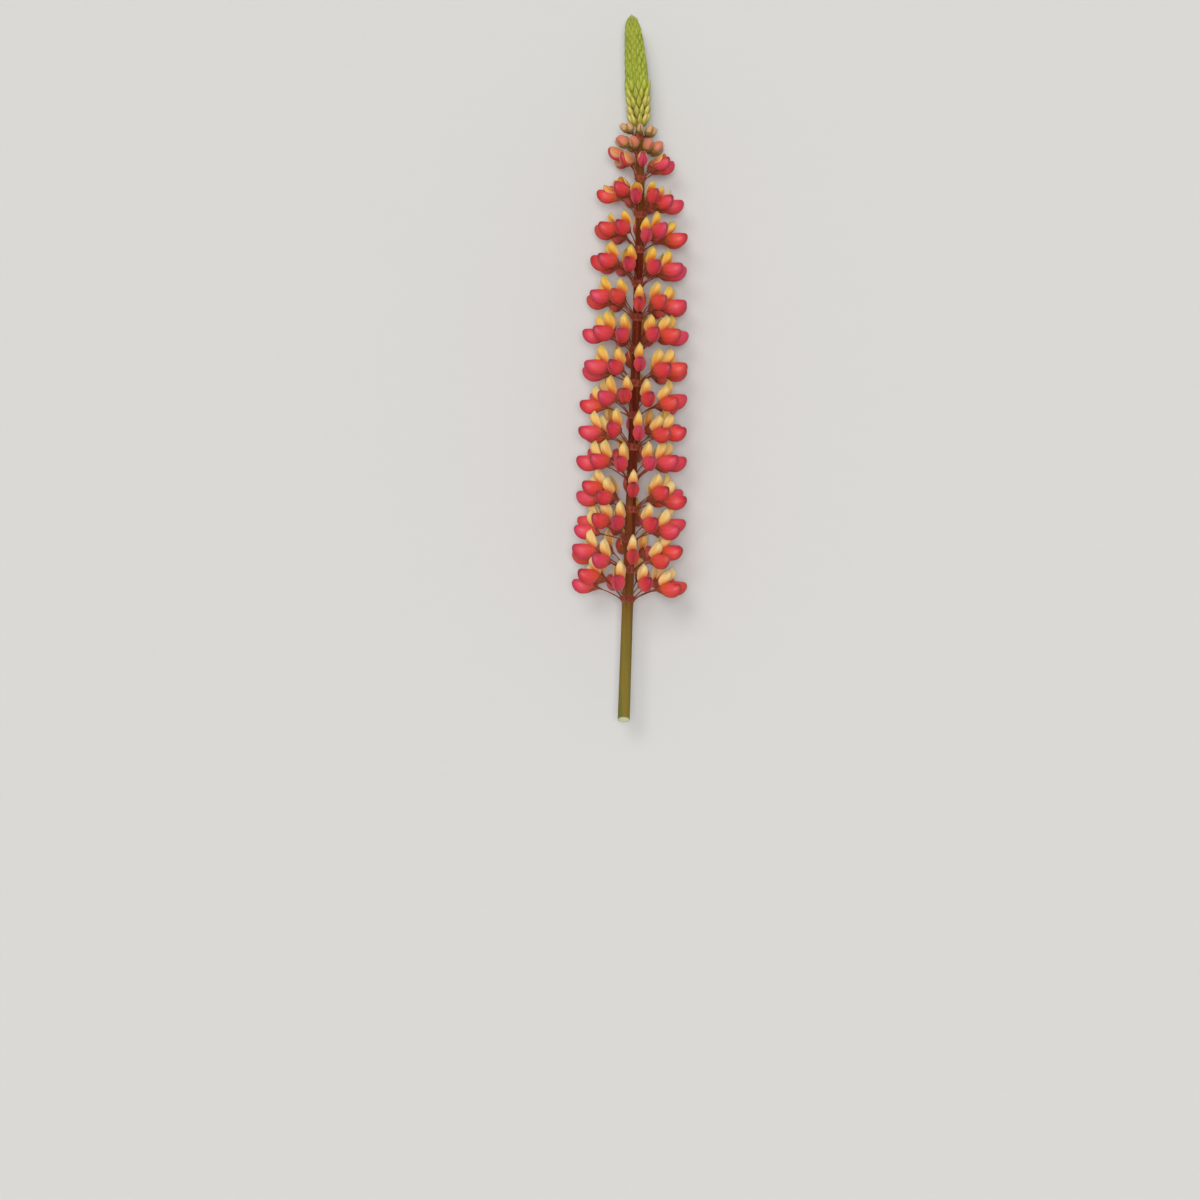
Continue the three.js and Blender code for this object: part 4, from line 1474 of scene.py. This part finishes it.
def describe_cone():
    """Where each bud of the cone has its foot: rows along the cone, each turned by half a step."""
    row, side = np.divmod(np.arange(CONE_ROWS * TIP_SIDES)[:, None, None], TIP_SIDES)
    turned, higher, longer, tinted = (draw(CONE_DRAWS, row * TIP_SIDES + side, use) for use in (1, 4, 2, 6))
    share = row / (CONE_ROWS - 1)
    return dict(
        share=share,
        foot=CONE_FIRST_Y + (CONE_LAST_Y - CONE_FIRST_Y) * share + CONE_VARIES["foot"] * higher,
        angle=WHORL_TWIST + np.pi / TIP_SIDES * (2 * side + row % 2) + CONE_VARIES["angle"] * turned,
        length=SCALE_LENGTH * (1 - SCALES_SHORTEN * share) * (1 + CONE_VARIES["length"] * longer),
        tint=tinted.ravel(),
    )


def on_cone(cone, along, above, beside):
    """Sets points of the cone's buds: each bends with the cone, and its end stands out more lower down."""
    share = cone["share"]
    y = cone["foot"] + along * cone["length"]
    radius = cone_radius(y)
    slimmer = 1 - SCALES_SLIM * share
    turned_out = SCALES_TURN_OUT[0] + (SCALES_TURN_OUT[1] - SCALES_TURN_OUT[0]) * share
    out = radius + (above - 1) * SCALE_DEPTH * slimmer + turned_out * (along - SCALE_HINGE)
    turn = cone["angle"] + beside * SCALE_HALF_WIDTH * slimmer / np.maximum(radius, LEAST_RADIUS)
    return round_stem(y, turn, out)


def cone_buds(cone):
    """The cone's buds: the egg, laid on the cone."""
    share, turn = bud_grid(*SCALE_GRID)
    return on_cone(cone, share, *egg(share, turn, POINTED_SHARES))


print("the cone has", CONE_ROWS * TIP_SIDES, "buds")

# %% Shape the bracts on the cone
LEAF_ROWS = 6
LEAF_COLUMNS = 3
LEAF_FROM = 0.1  # where a bract starts and ends, as shares of its bud's length
LEAF_TO = 1.15
LEAF_HALF_WIDTH = 0.34
LEAF_NARROWS = dict(start=-0.2, length=1.37, power=0.7)
LEAF_OVER = 0.16  # how far it stands off the bud's back, as a share of the bud's depth
LEAF_ARCH = 0.12
LEAF_LIFTS = 0.5
LEAF_LIFTS_FROM = 0.8


def cone_bracts(cone):
    """Narrow leaves that lie along the cone's buds, end just past them and lift off there.

    Their width follows half a wave, from a little before their start to a little past their end.
    """
    share = np.linspace(LEAF_FROM, LEAF_TO, LEAF_ROWS)[:, None]
    edge = np.linspace(-1, 1, LEAF_COLUMNS)
    half_wave = np.clip((share - LEAF_NARROWS["start"]) / LEAF_NARROWS["length"], 0, 1)
    narrow = LEAF_HALF_WIDTH * np.sin(np.pi * half_wave) ** LEAF_NARROWS["power"]
    back = egg(np.clip(share, 0, 1), 0, POINTED_SHARES)[0]
    lifted = back + LEAF_OVER - LEAF_ARCH * edge**2 + LEAF_LIFTS * np.maximum(0, share - LEAF_LIFTS_FROM)
    return sheet_rings(on_cone(cone, share, lifted, edge * narrow), BRACT_THICKNESS)


print("the first bract on the cone is", extent(cone_bracts(describe_cone())[:1]), "mm")

# %% Build the tip
TIP_HAIRS = 1500
TIP_HAIR = dict(radius=cone_radius, inset=0.5, length=1.7, thickness=0.05)
HAIRS_FROM = 205.0
HAIRS_TO = 263.0


def build_tip():
    """The core, the rows of buds that stand apart, the cone with its leaves, and the down."""
    piece = Piece()
    piece.tubes(tip_core(), 1)
    for row in range(len(YOUNG_ROWS)):
        whorl = young_bud_row(row)
        parts = [
            (bud_view(whorl, rows=9, columns=10, shares=POINTED_SHARES), 0),
            (bud_pedicel_view(whorl, thickness=0.8), 1),
            (bract_view(whorl, width=0.75), 2),
        ]
        add_parts(piece, whorl, 0.0, *parts)
    cone = describe_cone()
    piece.tubes(cone_buds(cone), 0, tint=cone["tint"])
    piece.tubes(cone_bracts(cone), 2, tint=cone["tint"])
    piece.tubes(down(TIP_HAIRS, HAIRS_FROM, HAIRS_TO, **TIP_HAIR), 3)
    finishes = [GREEN_FINISH, CORE_FINISH, BRACT_FINISH, DOWN_FINISH]
    return piece.build("green_tip", "bud_tip", finishes)


build_tip()
